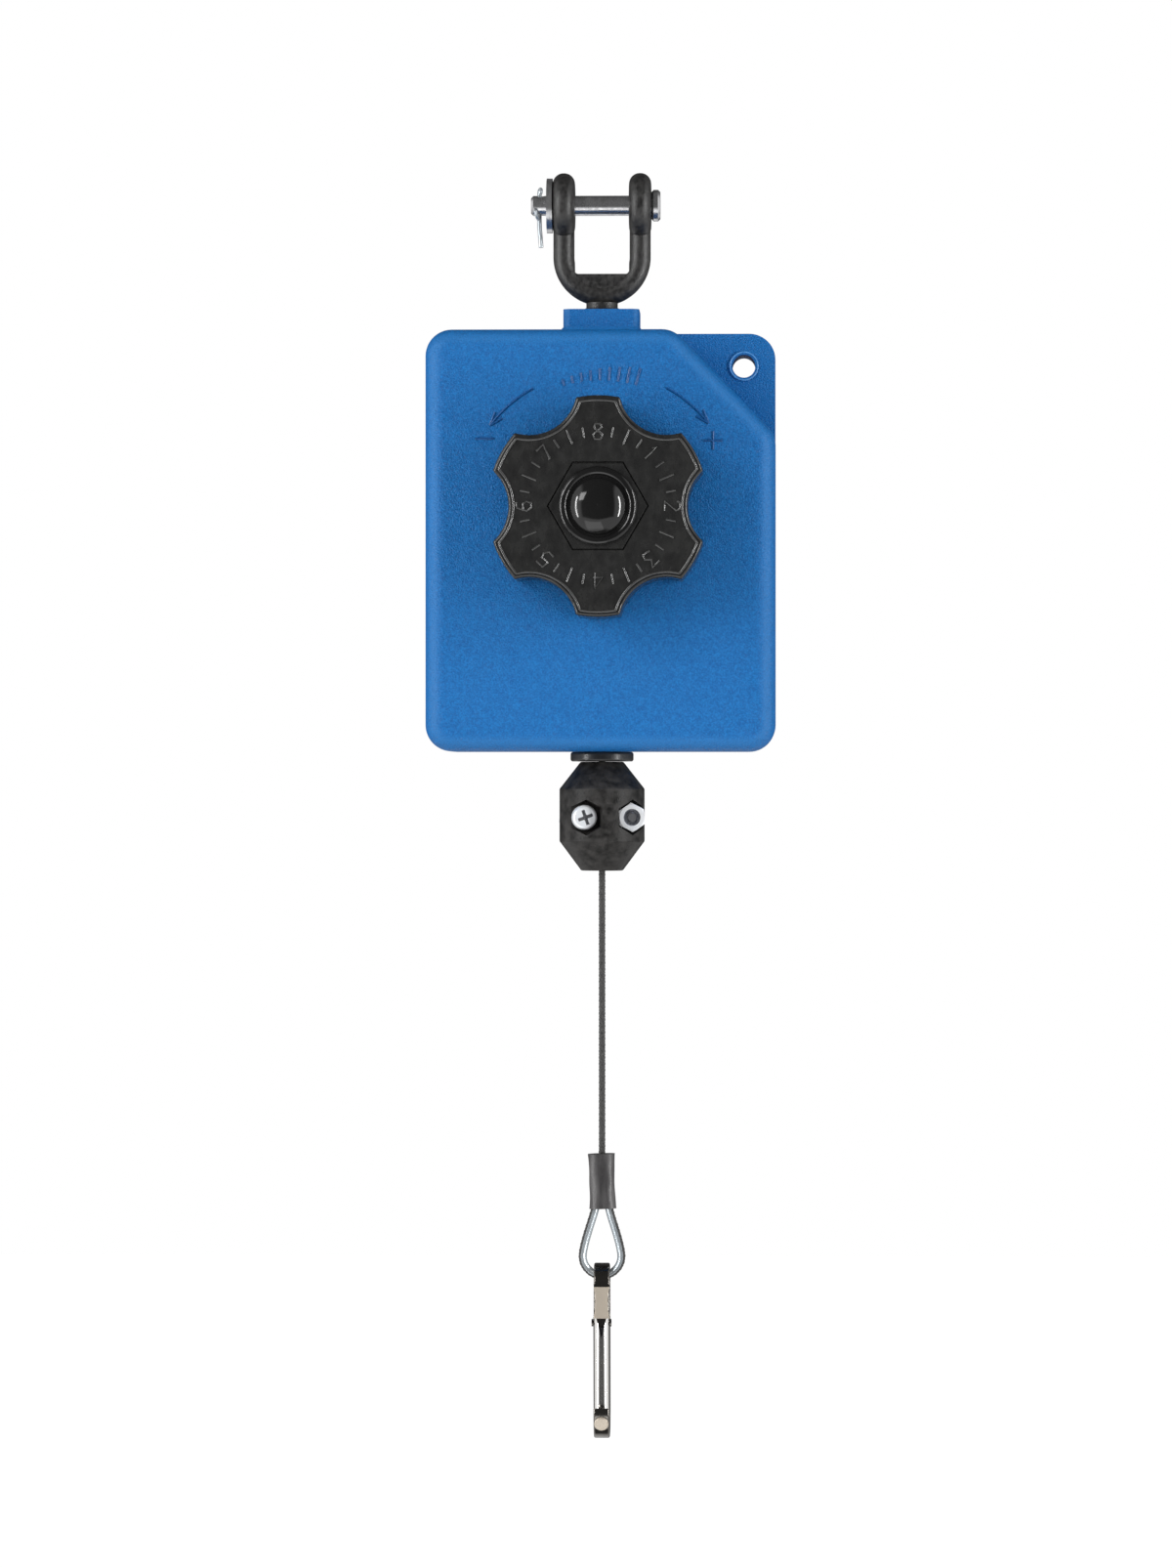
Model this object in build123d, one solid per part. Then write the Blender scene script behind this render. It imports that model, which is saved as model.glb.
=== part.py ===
from build123d import *
import os
from math import asin, atan2, cos, degrees, hypot, radians, sin, sqrt, tan

# A tool retractor: a case with a sprung cord reel hangs from a swivel clevis, and the cord carries a hook.
# The origin is the middle of the clevis pin, +Z is up, +X is right and the front faces -Y.

# Clearances
run_gap = 0.05  # radial gap of a running fit
seat_gap = 0.1  # gap between pieces that are seated and don't move
rest_gap = 0.3  # gap between faces that only rest on each other

# Shares that shape small forms
bevel_share = 0.25  # of a head's or flange's thickness
head_round = 0.4  # of a screw head's height
ear_round = 0.48  # of a clevis ear's thickness
rivet_round = 0.45  # of the nose rivet's height
bend_share = 0.45  # of the shorter run at a cord's bend

# Clevis and its pin
pin_d = 6.35
pin_head_d = 10.0
pin_head_t = 2.8
pin_tail = 6.9  # from the ear to the pin's free end
washer_d = 17.3
washer_t = 1.8
cotter_wire_d = 1.15
cotter_from_washer = 1.6  # from the washer to the middle of the cotter
cotter_leg = 13.5  # how far the straight leg hangs below the pin's middle
cotter_bend_r = 1.1
cotter_hook_r = 1.7
cotter_tip_up = 1.6  # how far the bent leg's end stands above the pin's middle
clevis_rod_d = 6.7
clevis_gap_w = 17.2
clevis_ear_r = 10.3
clevis_ear_t = 7.0
clevis_drop = 31.8  # from the pin to the bottom of the U
clevis_floor = 21.8  # from the pin to the flat inner floor
clevis_web_t = 5.2
clevis_boss_d = 10.0
clevis_boss_h = 0.8
clevis_boss_sunk = 0.9  # how far the boss reaches into the rod
clevis_corner_r = 1.2  # at the corners of the flat floor

# Swivel
stud_d = 8.0
stud_root_d = 4.4
stud_sunk = 6.0  # how deep the stud's root is moulded into the clevis
thrust_d = 10.8
thrust_t = 1.0
bush_wall = 2.0
bush_flange = 2.0
bush_flange_t = 1.5
swivel_washer_t = 1.5
swivel_nut_af = 13.0
swivel_nut_t = 5.0
nut_chamfer = 1.0
stud_tail = 1.0

# Case
case_w = 110.0
case_h = 132.5
case_front_depth = 25.0
case_rear_depth = 19.0
case_corner_r = 8.3
case_front_edge_r = 6.0
case_rear_edge_r = 4.0
case_wall = 2.5
neck_w = 24.0
neck_d = 22.0
neck_h = 7.1
neck_corner_r = 2.5
neck_flare = 1.5  # how far the neck widens where it meets the case
neck_seat = 3.4  # how far the neck's block reaches below the top wall
cut_along_top = 32.2  # how much of the top edge the cut corner takes
cut_down_side = 33.3
lip_t = 1.2
lip_h = 1.8
lip_root = 1.5
lug_t = 5.0
lug_hole_d = 7.3
lug_hole_inset = 10.0  # from the case's right side to the safety hole
lug_hole_down = 10.3  # from the case's top to the safety hole
lug_boss_wall = 2.4
lug_rim_d = 9.4
lug_rim_h = 0.5

# Screws of the case
case_screw_d = 4.0
case_screw_head_d = 7.4
case_screw_head_h = 2.4
case_screw_len = 24.0
case_boss_r = 3.6
case_boss_inset = 9.3
counterbore_deep = 3.0
rib_t = 1.6
rib_h = 3.0
rib_count = 8

# Arbor and its bearings, measured forwards from the parting plane
arbor_down = 97.6  # from the clevis pin to the arbor
arbor_d = 10.0
arbor_shoulder_d = 15.0
front_boss_r = 21.0
front_boss_h = 3.0
rear_boss_r = 10.0
rear_bush_sunk = 1.0
bearing_wall = 2.0
bearing_flange_t = 0.8

# Ratchet
ratchet_count = 24
ratchet_h = 1.8
ratchet_in_r = 10.0
ratchet_out_r = 18.0
ratchet_base_t = 2.0
ratchet_gap = 0.1
ratchet_land = 0.05  # share of the pitch left flat between two teeth
ratchet_sunk = 0.2  # how far a tooth reaches into the ring
ratchet_wedge_over = 1.15  # how far past the ring's edges a tooth's wedge is drawn
ratchet_back_off = 0.4  # degrees that the knob's teeth stand off the upright faces
ring_key_w = 4.0
ring_key_out = 1.5
ring_key_count = 4

# Knob
knob_r = 34.3
knob_lobes = 6
scallop_r = 14.8
scallop_at = 42.5
knob_stands_off = 1.0
knob_proud = 24.0  # from the case to the knob's face
knob_edge_r = 1.0
knob_step = 0.45  # how far the knob's face stands above its rounded edge
knob_step_in = 1.5
knob_step_r = 0.2
knob_corner_r = 0.8
knob_wall = 2.8
knob_face_t = 3.5
knob_hub_r = 18.6
knob_rib_t = 2.0
knob_floor_t = 3.5
knob_travel = 5.0
hex_corners = 31.2
hex_gap = 0.2
hex_bevel = 0.5
hex_len = 9.0
hex_recess = 4.0
hex_web_t = 2.0
drive_flat = 8.0  # across the two flats at the arbor's front end
cap_d = 24.4
cap_dome_d = 18.2
cap_rim_h = 1.6
cap_dome_h = 3.4
cap_plug_d = 16.0
cap_plug_h = 1.5
cap_wall = 1.2
cap_groove_up = 0.56
cap_groove_w = 0.32
cap_shell_up = 0.48
cap_dome_bulge = 0.78  # height of the dome's shoulder, of its whole height
cap_dome_shoulder = 0.72  # radius of the dome's shoulder, of its whole radius
hub_screw_d = 5.0
hub_screw_head_d = 9.0
hub_screw_head_h = 1.6
hub_screw_len = 12.0
knob_spring_wire_d = 0.9
knob_spring_r = 7.2
knob_spring_turns = 3

# Reel and power spring
cord_d = 2.2
reel_turns = 7.5
wind_pitch = 2.3
wind_r = 32.0  # from the arbor to the middle of the wound cord
reel_flange_r = 40.0
reel_flange_t = 2.0
reel_flange_slope = 0.8
reel_web_t = 3.0
drum_wall = 4.0
cover_t = 2.0
cover_r = 34.0
reel_screw_count = 4
reel_screw_d = 2.2
reel_screw_head_d = 4.2
reel_screw_head_h = 1.5
reel_screw_len = 7.0
strip_t = 0.5
spring_in_r = 6.4
spring_pitch = 2.4
spring_half_turns = 16
spring_side_gap = 1.5
strip_slot_gap = 0.2
strip_hook = 1.6  # how far the spring's outer end reaches into the drum's wall

# Cord guide
guide_d = 20.0
guide_flange_t = 3.1
guide_barrel_d = 12.0
guide_top_d = 15.0
guide_top_t = 2.0
guide_seat_h = 6.0
guide_throat_r = 4.5
guide_bore_gap = 0.4
payout_len = 5.0
lead_straight = 10.2  # from the payout to the lead's first bend
lead_mid_across = 0.285  # the second bend's place, of the lead's width
lead_mid_up = 0.575  # and of its height
lead_end_angle = 240.0  # where the lead ends beside the drum
lead_gap = 0.6

# Cord stop
stop_d = 27.0
stop_top_d = 13.6
stop_bottom_d = 13.2
stop_top_cone = 8.6
stop_body = 16.6
stop_bottom_cone = 9.3
stop_edge_r = 0.8
stop_split = 0.5
stop_turn = 14.0  # degrees about the cord
stop_screw_at = 7.5  # from the cord to each screw
stop_screw_down = 17.6  # from the stop's top to the screws
stop_screw_d = 4.0
stop_pocket_floor = 7.0
stop_pocket_corners = 11.4
stop_head_d = 7.9
stop_head_h = 2.7
stop_nut_af = 8.2
stop_nut_t = 3.0

# Crimped loop and thimble
cord_len = 124.4  # from the guide to the sleeve
jog_len = 4.5
strand_at = 1.12  # from the middle to each strand in the ferrule
ferrule_len = 8.5
ferrule_gap = 0.3
ferrule_wall = 1.0
sleeve_d = 8.6
sleeve_deep = 6.8
sleeve_wall = 0.6
sleeve_len = 17.5
sleeve_above = 5.2  # how far the sleeve reaches above the ferrule
loop_r = 6.4  # from the loop's middle to the middle of the cord
loop_drop = 18.8  # from the ferrule's bottom to the loop's middle
thimble_in = 1.55
thimble_out = 0.8
thimble_w = 3.5
thimble_start = 2.8  # from the ferrule's bottom to the thimble's tips

# Snap hook
strip_w = 5.0
hook_t = 1.8
hook_edge_r = 0.55
hook_top_in_r = 5.0
hook_bottom_in_r = 7.5
hook_span = 39.4  # between the middles of the two bends
hook_hang = 0.9  # from the thimble to the strip above it
plate_w = 5.1
plate_waist = 3.9
plate_len = 10.0
plate_t = 0.5
tang_w = 2.4
tang_up = 2.6
tang_down = 1.1
rivet_down = 1.95  # from the plate's bottom to the gate's rivet
rivet_d = 1.1
rivet_head_d = 2.4
rivet_head_t = 0.5
gate_w = 5.2
gate_wall = 0.75
gate_back = 1.2
gate_up = 1.7
gate_len = 29.4
gate_slant = 5.5  # degrees that the gate leans in to pass behind the nose
gate_notch_w = 3.2
gate_notch_len = 4.6
gate_seam_w = 0.45
gate_seam_deep = 0.3
nose_over = 6.0  # degrees that the nose reaches above the bend's middle
nose_rivet_d = 4.6
nose_rivet_t = 0.9
nose_rivet_angle = 24.0
leaf_t = 0.35
leaf_len = 9.0

# Heights and places worked out from the sizes above
clevis_w = clevis_gap_w + 2 * clevis_ear_t
neck_top = -(clevis_drop + clevis_boss_h + thrust_t)
case_top = neck_top - neck_h
case_bottom = case_top - case_h
neck_floor = case_top - case_wall - neck_seat
bush_d = stud_d + 2 * run_gap + 2 * bush_wall
swivel_washer_top = neck_floor - bush_flange_t - seat_gap
swivel_nut_top = swivel_washer_top - swivel_washer_t
stud_end = swivel_nut_top - swivel_nut_t - stud_tail
arbor_z = -arbor_down
arbor_r = arbor_d / 2
front_inner = case_front_depth - case_wall
rear_inner = -(case_rear_depth - case_wall)
front_boss_face = front_inner - front_boss_h
rear_pocket = rear_inner - rear_bush_sunk
bearing_in_r = arbor_r + run_gap
bearing_out_r = bearing_in_r + bearing_wall
front_bush_face = front_boss_face - bearing_flange_t
ring_floor = case_front_depth - ratchet_base_t
knob_back = case_front_depth + knob_stands_off
knob_face = case_front_depth + knob_proud
knob_hub_end = case_front_depth + ratchet_gap
hex_back = knob_face - hex_len
knob_floor_front = hex_back - knob_travel - knob_spring_wire_d * knob_spring_turns - rest_gap
knob_floor_back = knob_floor_front - knob_floor_t
hex_web_front = knob_face - hex_recess
hex_web_back = hex_web_front - hex_web_t
drum_r = wind_r - cord_d / 2
spring_case_r = drum_r - drum_wall
winding_w = (reel_turns + 1) * wind_pitch
drum_half = winding_w / 2
reel_back = -drum_half - reel_web_t
rear_bush_face = reel_back - seat_gap
rear_boss_face = rear_bush_face - bearing_flange_t
cover_back = drum_half + reel_flange_t
cover_front = cover_back + cover_t
spring_back = -drum_half + spring_side_gap
spring_front = cover_back - spring_side_gap
shoulder_back = cover_front + rest_gap
shoulder_front = front_bush_face - seat_gap
guide_bottom = case_bottom - guide_flange_t
guide_seat_top = case_bottom + case_wall + guide_seat_h
guide_top = guide_seat_top + guide_top_t
guide_bore_r = cord_d / 2 + guide_bore_gap
line_top = guide_bottom + guide_flange_t
stop_top = guide_bottom - seat_gap
stop_bottom = stop_top - stop_top_cone - stop_body - stop_bottom_cone
sleeve_top = guide_bottom - cord_len
ferrule_top = sleeve_top - sleeve_above
ferrule_bottom = ferrule_top - ferrule_len
sleeve_bottom = sleeve_top - sleeve_len
loop_z = ferrule_bottom - loop_drop
hook_top_z = loop_z - (loop_r - thimble_in) + hook_hang - hook_top_in_r
hook_bottom_z = hook_top_z - hook_span
hook_top_r = hook_top_in_r + hook_t / 2
hook_bottom_r = hook_bottom_in_r + hook_t / 2
hook_lean = degrees(asin((hook_bottom_r - hook_top_r) / hook_span))

# On the arbor's own frame, local z runs forwards out of the case and local y runs up
arbor_frame = Plane(origin=(0, 0, arbor_z), x_dir=(1, 0, 0), z_dir=(0, -1, 0))


def at(radius, angle):
    """The point at a radius and an angle in degrees, in a plane."""
    return (radius * cos(radians(angle)), radius * sin(radians(angle)))


def slab(sketch, y_back, y_front):
    """A front-view sketch extruded between two depths."""
    return extrude(Plane.XZ.offset(-y_back) * sketch, amount=y_back - y_front)


def upright(sketch, z_low, z_high):
    """A plan-view sketch extruded between two heights."""
    return extrude(Plane.XY.offset(z_low) * sketch, amount=z_high - z_low)


def turned(points):
    """A profile of radius and height points turned about Z."""
    return revolve(Plane.XZ * make_face(Polyline(*points, close=True)), Axis.Z)


def tube(out_r, in_r, low, high):
    """A plain tube about Z."""
    return upright(Circle(out_r) - Circle(in_r), low, high)


def post(radius, low, high):
    """A plain cylinder about Z."""
    return upright(Circle(radius), low, high)


def on_arbor(shape):
    """A piece drawn about its own Z axis, put on the arbor."""
    return arbor_frame.location * shape


def clevis_yoke():
    """U of round rod with two round ears, a flat inner floor and a boss below."""
    bend_r = (clevis_gap_w + clevis_ear_t) / 2
    bend_z = -(clevis_drop - clevis_rod_d / 2 - bend_r)
    u_line = Line((-bend_r, 0), (-bend_r, bend_z))
    u_bend = CenterArc((0, bend_z), bend_r, 180, 180)
    u_other = Line((bend_r, bend_z), (bend_r, 0))
    path = Plane.XZ * Wire([u_line, u_bend, u_other])
    section = Plane(origin=(-bend_r, 0, 0), z_dir=(0, 0, -1)) * Circle(clevis_rod_d / 2)
    yoke = sweep(section, path=path)
    web_outline = Pos(0, bend_z) * Circle(bend_r)
    web_outline &= Pos(0, -clevis_floor - bend_r) * Rectangle(2 * bend_r, 2 * bend_r)
    yoke += slab(web_outline, clevis_web_t / 2, -clevis_web_t / 2)
    for side in (-1, 1):
        ear = extrude(Plane.YZ.offset(side * bend_r) * Circle(clevis_ear_r), clevis_ear_t / 2, both=True)
        rims = ear.edges().filter_by(GeomType.CIRCLE)
        yoke += fillet(rims, clevis_ear_t * ear_round)
    yoke += post(clevis_boss_d / 2, -clevis_drop - clevis_boss_h, -clevis_drop + clevis_boss_sunk)
    opening = fillet(Rectangle(clevis_gap_w, 2 * clevis_floor).vertices(), clevis_corner_r)
    yoke -= slab(opening, clevis_rod_d, -clevis_rod_d)
    yoke -= Rot(0, 90, 0) * post(pin_d / 2 + run_gap, -clevis_w, clevis_w)
    yoke -= post(stud_root_d / 2, -clevis_drop - clevis_boss_h, -clevis_drop + stud_sunk)
    return yoke


def clevis_pin():
    """Plain pin along X with a bevelled head at the right and a cross hole at the left."""
    head_x = clevis_w / 2 + seat_gap
    tail_x = -clevis_w / 2 - pin_tail
    bevel = pin_head_t * bevel_share
    profile = [
        (0, tail_x),
        (pin_d / 2 - bevel, tail_x),
        (pin_d / 2, tail_x + bevel),
        (pin_d / 2, head_x),
        (pin_head_d / 2 - bevel, head_x),
        (pin_head_d / 2, head_x + bevel),
        (pin_head_d / 2, head_x + pin_head_t - bevel),
        (pin_head_d / 2 - bevel, head_x + pin_head_t),
        (0, head_x + pin_head_t),
    ]
    pin = Rot(0, 90, 0) * turned(profile)
    return pin - Pos(cotter_x(), 0, 0) * post(cotter_wire_d + seat_gap, -pin_d, pin_d)


def cotter_x():
    """Where the cotter crosses the pin."""
    return -clevis_w / 2 - seat_gap - washer_t - cotter_from_washer


def pin_washer():
    """Plain washer between the left ear and the cotter."""
    washer = tube(washer_d / 2, pin_d / 2 + seat_gap, -washer_t / 2, washer_t / 2)
    return Pos(-clevis_w / 2 - seat_gap - washer_t / 2, 0, 0) * Rot(0, 90, 0) * washer


def cotter_pin():
    """Wire with two legs through the pin, one hanging straight and one bent round the pin's front."""
    leg_y = cotter_wire_d / 2 + seat_gap / 2
    crown = pin_d / 2 + cotter_wire_d / 2
    hug = pin_d / 2 + cotter_wire_d
    up = Line((leg_y, -cotter_leg), (leg_y, crown))
    over = CenterArc((0, crown), leg_y, 0, 180)
    bends = FilletPolyline(
        (-leg_y, crown),
        (-leg_y, -hug),
        (-hug, -hug + cotter_wire_d / 2),
        (-hug, cotter_tip_up),
        radius=[cotter_bend_r, cotter_hook_r],
    )
    path = Plane.YZ.offset(cotter_x()) * Wire([up, over] + list(bends.edges()))
    start = Plane(origin=(cotter_x(), leg_y, -cotter_leg), z_dir=(0, 0, 1))
    return sweep(start * Circle(cotter_wire_d / 2), path=path)


def swivel_stud():
    """Steel stud moulded into the clevis."""
    root_end = -clevis_drop - clevis_boss_h
    return post(stud_d / 2, stud_end, root_end) + post(stud_root_d / 2, root_end, -clevis_drop + stud_sunk)


def thrust_washer():
    """Washer that the case's neck bears against."""
    return tube(thrust_d / 2, stud_d / 2 + run_gap, neck_top + run_gap, neck_top + thrust_t - run_gap)


def swivel_bush():
    """Bronze bush in the neck, with its flange inside the case."""
    in_r = stud_d / 2 + run_gap
    bush = tube(bush_d / 2, in_r, neck_floor, neck_top - seat_gap)
    return bush + tube(bush_d / 2 + bush_flange, in_r, neck_floor - bush_flange_t, neck_floor)


def swivel_washer():
    """Washer between the bush's flange and the nut."""
    return tube(
        bush_d / 2 + bush_flange,
        stud_d / 2 + run_gap,
        swivel_washer_top - swivel_washer_t + run_gap,
        swivel_washer_top,
    )


def hexagon(across_flats):
    """A hexagon with one corner up and one down."""
    return RegularPolygon(across_flats / 2, 6, major_radius=False, rotation=30)


def swivel_nut():
    """Nut on the stud's lower end, with chamfered corners."""
    low = swivel_nut_top - swivel_nut_t
    nut = upright(hexagon(swivel_nut_af), low, swivel_nut_top)
    corner_r = swivel_nut_af / sqrt(3)
    cone = turned(
        [
            (0, low - nut_chamfer),
            (corner_r - nut_chamfer, low - nut_chamfer),
            (corner_r + nut_chamfer, low + nut_chamfer),
            (corner_r + nut_chamfer, swivel_nut_top),
            (0, swivel_nut_top),
        ]
    )
    return (nut & cone) - post(stud_d / 2 + run_gap, low, swivel_nut_top)


def full_corners():
    """Corners of the whole case in the front view."""
    half = case_w / 2
    return [(-half, case_bottom), (half, case_bottom), (half, case_top), (-half, case_top)]


def cut_corners():
    """Corners of the front shell, whose top right corner is cut off."""
    half = case_w / 2
    return [
        (-half, case_bottom),
        (half, case_bottom),
        (half, case_top - cut_down_side),
        (half - cut_along_top, case_top),
        (-half, case_top),
    ]


def outline(corners, inset):
    """A case outline with rounded corners, moved inwards by an inset."""
    face = make_face(Polyline(*corners, close=True))
    if inset:
        face = offset(face, -inset, kind=Kind.INTERSECTION)
    return fillet(face.vertices(), case_corner_r - inset)


def form(corners, inset, y_face, edge_r):
    """A case form from the parting plane to a face with rounded edges."""
    body = slab(outline(corners, inset), max(0, y_face), min(0, y_face))
    order = body.faces().sort_by(Axis.Y)
    face = order[0] if y_face < 0 else order[-1]
    return fillet(face.edges(), edge_r)


def screw_places():
    """The four case screws in the front view."""
    side = case_w / 2 - case_boss_inset
    top = case_top - case_boss_inset
    bottom = case_bottom + case_boss_inset
    run = hypot(cut_along_top, cut_down_side)
    middle = (case_w / 2 - cut_along_top / 2, case_top - cut_down_side / 2)
    cut = (
        middle[0] - case_boss_inset * cut_down_side / run,
        middle[1] - case_boss_inset * cut_along_top / run,
    )
    return [(-side, top), (-side, bottom), (side, bottom), cut]


def lug_hole():
    """The safety hole's middle in the front view."""
    return (case_w / 2 - lug_hole_inset, case_top - lug_hole_down)


def neck_plan():
    """The neck's plan, with rounded corners."""
    plan = Rectangle(neck_w, neck_d)
    return fillet(plan.vertices(), neck_corner_r)


def bearing_blocks():
    """The neck and the block that hold the swivel and the cord guide, before they are bored."""
    neck = upright(neck_plan(), neck_floor, neck_top)
    neck += extrude(Plane.XY.offset(case_top) * offset(neck_plan(), neck_flare), neck_flare, taper=45)
    neck += upright(offset(neck_plan(), neck_flare), case_top - case_wall / 2, case_top)
    guide_block = upright(
        Rectangle(guide_top_d + 2 * case_wall, guide_top_d + 2 * case_wall),
        case_bottom + case_wall / 2,
        guide_seat_top,
    )
    return neck + guide_block


def bearing_bores():
    """What is bored out of both shells along the swivel and the cord."""
    bore = post(bush_d / 2 + seat_gap, neck_floor, neck_top)
    bore += post(bush_d / 2 + bush_flange + seat_gap, neck_floor - bush_flange_t - seat_gap, neck_floor)
    bore += post(guide_barrel_d / 2 + seat_gap, case_bottom, guide_seat_top)
    return bore


def ribs(y_wall, y_edge, out_r, cavity):
    """Stiffening ribs that run from the arbor's boss to the walls."""
    plates = []
    reach = case_w + case_h
    for turn in range(rib_count):
        angle = 360 / rib_count * (turn + 0.5)
        plate = Pos(*at(out_r + reach / 2, angle)) * Rot(0, 0, angle) * Rectangle(reach, rib_t)
        plates.append(Pos(0, arbor_z) * plate)
    sheet = slab(Sketch() + plates, max(y_wall, y_edge), min(y_wall, y_edge))
    return sheet & cavity


def front_shell():
    """Moulded front case: cut corner, neck half, arbor boss, screw bosses and ribs."""
    outer = form(cut_corners(), 0, -case_front_depth, case_front_edge_r)
    cavity = form(cut_corners(), case_wall, -front_inner, case_front_edge_r - case_wall)
    front_half = Pos(0, -case_w / 2, arbor_z) * Box(2 * case_w, case_w, 2 * case_h)
    shell = outer - cavity
    shell += bearing_blocks() & front_half
    shell += ribs(-front_inner - case_wall / 2, -front_inner + rib_h, front_boss_r - rib_t, outer)
    shell += on_arbor(post(front_boss_r, front_boss_face, front_inner + case_wall / 2))
    for x, z in screw_places():
        shell += slab(Pos(x, z) * Circle(case_boss_r), 0, -front_inner - case_wall / 2)
        shell -= slab(Pos(x, z) * Circle(case_screw_d / 2 + run_gap), 0, -case_screw_len)
    shell -= bearing_bores()
    shell -= on_arbor(post(bearing_out_r + seat_gap, front_boss_face, case_front_depth))
    recess = Circle(ratchet_out_r + seat_gap)
    recess += [Rot(0, 0, 360 / ring_key_count * k) * ring_key(seat_gap) for k in range(ring_key_count)]
    shell -= on_arbor(upright(recess, ring_floor - seat_gap, case_front_depth))
    return shell


def ring_key(gap):
    """One key of the ratchet ring, in the arbor's own plane."""
    reach = ratchet_out_r + ring_key_out + gap
    return Pos(reach / 2, 0) * Rectangle(reach, ring_key_w + 2 * gap)


def rear_shell():
    """Moulded rear case: joint lip, blind bearing, screw bosses and the corner lug with its hole."""
    outer = form(full_corners(), 0, case_rear_depth, case_rear_edge_r)
    cavity = form(cut_corners(), case_wall, -rear_inner, case_rear_edge_r - case_wall)
    rear_half = Pos(0, case_w / 2, arbor_z) * Box(2 * case_w, case_w, 2 * case_h)
    pocket = outline(full_corners(), case_wall) - outline(cut_corners(), 0)
    shell = outer - cavity - slab(pocket, case_rear_depth, lug_t)
    shell += bearing_blocks() & rear_half
    shell += joint_lip()
    shell += ribs(-rear_inner + case_wall / 2, -rear_inner - rib_h, rear_boss_r - rest_gap, outer & cavity)
    shell += on_arbor(post(rear_boss_r, rear_inner - case_wall / 2, rear_boss_face))
    head_y = case_rear_depth - counterbore_deep
    for x, z in screw_places():
        shell += slab(Pos(x, z) * Circle(case_boss_r), -rear_inner, 0)
        shell += slab(Pos(x, z) * Circle(case_screw_head_d / 2 + case_wall), -rear_inner, head_y - case_wall)
        shell -= slab(Pos(x, z) * Circle(case_screw_d / 2 + run_gap), case_rear_depth, 0)
        shell -= slab(Pos(x, z) * Circle(case_screw_head_d / 2 + rest_gap), case_rear_depth, head_y)
    hole_x, hole_z = lug_hole()
    tube_r = lug_hole_d / 2 + lug_boss_wall
    shell += slab(Pos(hole_x, hole_z) * Circle(tube_r), case_rear_depth - case_wall, 0)
    shell += slab(Pos(hole_x, hole_z) * Circle(lug_rim_d / 2), 0, -lug_rim_h)
    shell -= bearing_bores()
    shell -= on_arbor(post(bearing_out_r + seat_gap, rear_pocket - seat_gap, rear_boss_face))
    shell -= slab(Pos(hole_x, hole_z) * Circle(lug_hole_d / 2), case_rear_depth, -lug_rim_h)
    return shell


def joint_lip():
    """The lip along the parting line that centres the front shell, open at the neck and the guide."""
    lip_out = case_wall + seat_gap
    lip_in = lip_out + lip_t
    ring = outline(cut_corners(), lip_out) - outline(cut_corners(), lip_in)
    band = outline(cut_corners(), case_wall / 2) - outline(cut_corners(), lip_in)
    lip = slab(ring, 0, -lip_h) + slab(band, lip_root, 0)
    lip -= Pos(0, 0, case_top) * Box(neck_w + 2 * lip_t, 4 * lip_root + neck_d, 4 * lip_t + 2 * case_wall)
    gap_w = guide_top_d + 2 * case_wall + 2 * lip_t
    return lip - Pos(0, 0, case_bottom) * Box(gap_w, 4 * lip_root + neck_d, 4 * lip_t + 2 * case_wall)


def case_screws():
    """Four pan head screws from behind."""
    head_y = case_rear_depth - counterbore_deep
    screws = []
    for x, z in screw_places():
        shank = slab(Pos(x, z) * Circle(case_screw_d / 2), head_y, head_y - case_screw_len)
        head = slab(Pos(x, z) * Circle(case_screw_head_d / 2), head_y + case_screw_head_h, head_y)
        head = fillet(head.faces().sort_by(Axis.Y)[-1].edges(), case_screw_head_h * head_round)
        screws.append(shank + head)
    return screws


def cord_guide():
    """Flanged bush with a bell mouth at each end of its throat."""
    barrel_r = guide_barrel_d / 2
    throat = guide_bore_r
    flange_edge = guide_flange_t * bevel_share
    profile = Polyline(
        (throat + guide_throat_r, guide_top),
        (guide_top_d / 2, guide_top),
        (guide_top_d / 2, guide_seat_top + seat_gap),
        (barrel_r, guide_seat_top + seat_gap),
        (barrel_r, case_bottom - seat_gap),
        (guide_d / 2, case_bottom - seat_gap),
        (guide_d / 2, guide_bottom),
        (throat + guide_flange_t / 2, guide_bottom),
    )
    lower = RadiusArc((throat + guide_flange_t / 2, guide_bottom), (throat, guide_bottom + guide_flange_t / 2),
                      guide_flange_t / 2)
    wall = Line((throat, guide_bottom + guide_flange_t / 2), (throat, guide_top - guide_throat_r))
    upper = RadiusArc((throat, guide_top - guide_throat_r), (throat + guide_throat_r, guide_top), guide_throat_r)
    face = make_face(Wire(list(profile.edges()) + [lower, wall, upper]))
    rims = [v for v in face.vertices() if v.X > (guide_d - flange_edge) / 2]
    return revolve(Plane.XZ * fillet(rims, flange_edge), Axis.Z)


def ratchet_wedge(base):
    """One saw tooth whose ramp rises clockwise, from the first of its angles to the next."""
    pitch = 360 / ratchet_count
    ends = []
    for radius in (ratchet_in_r / ratchet_wedge_over, ratchet_out_r * ratchet_wedge_over):
        half = radius * tan(radians(pitch / 2)) * (1 - ratchet_land)
        rise = ratchet_h * radius / ratchet_out_r
        side = Plane(origin=(radius, 0, base), x_dir=(0, 1, 0), z_dir=(1, 0, 0))
        profile = [(-half, -ratchet_sunk), (half, -ratchet_sunk), (half, 0), (-half, rise)]
        ends.append(side * make_face(Polyline(*profile, close=True)))
    wedge = loft(ends, ruled=True)
    ring = tube(ratchet_out_r, ratchet_in_r, base - ratchet_sunk, base + 2 * ratchet_h)
    return Rot(0, 0, pitch / 2) * (wedge & ring)


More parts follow.
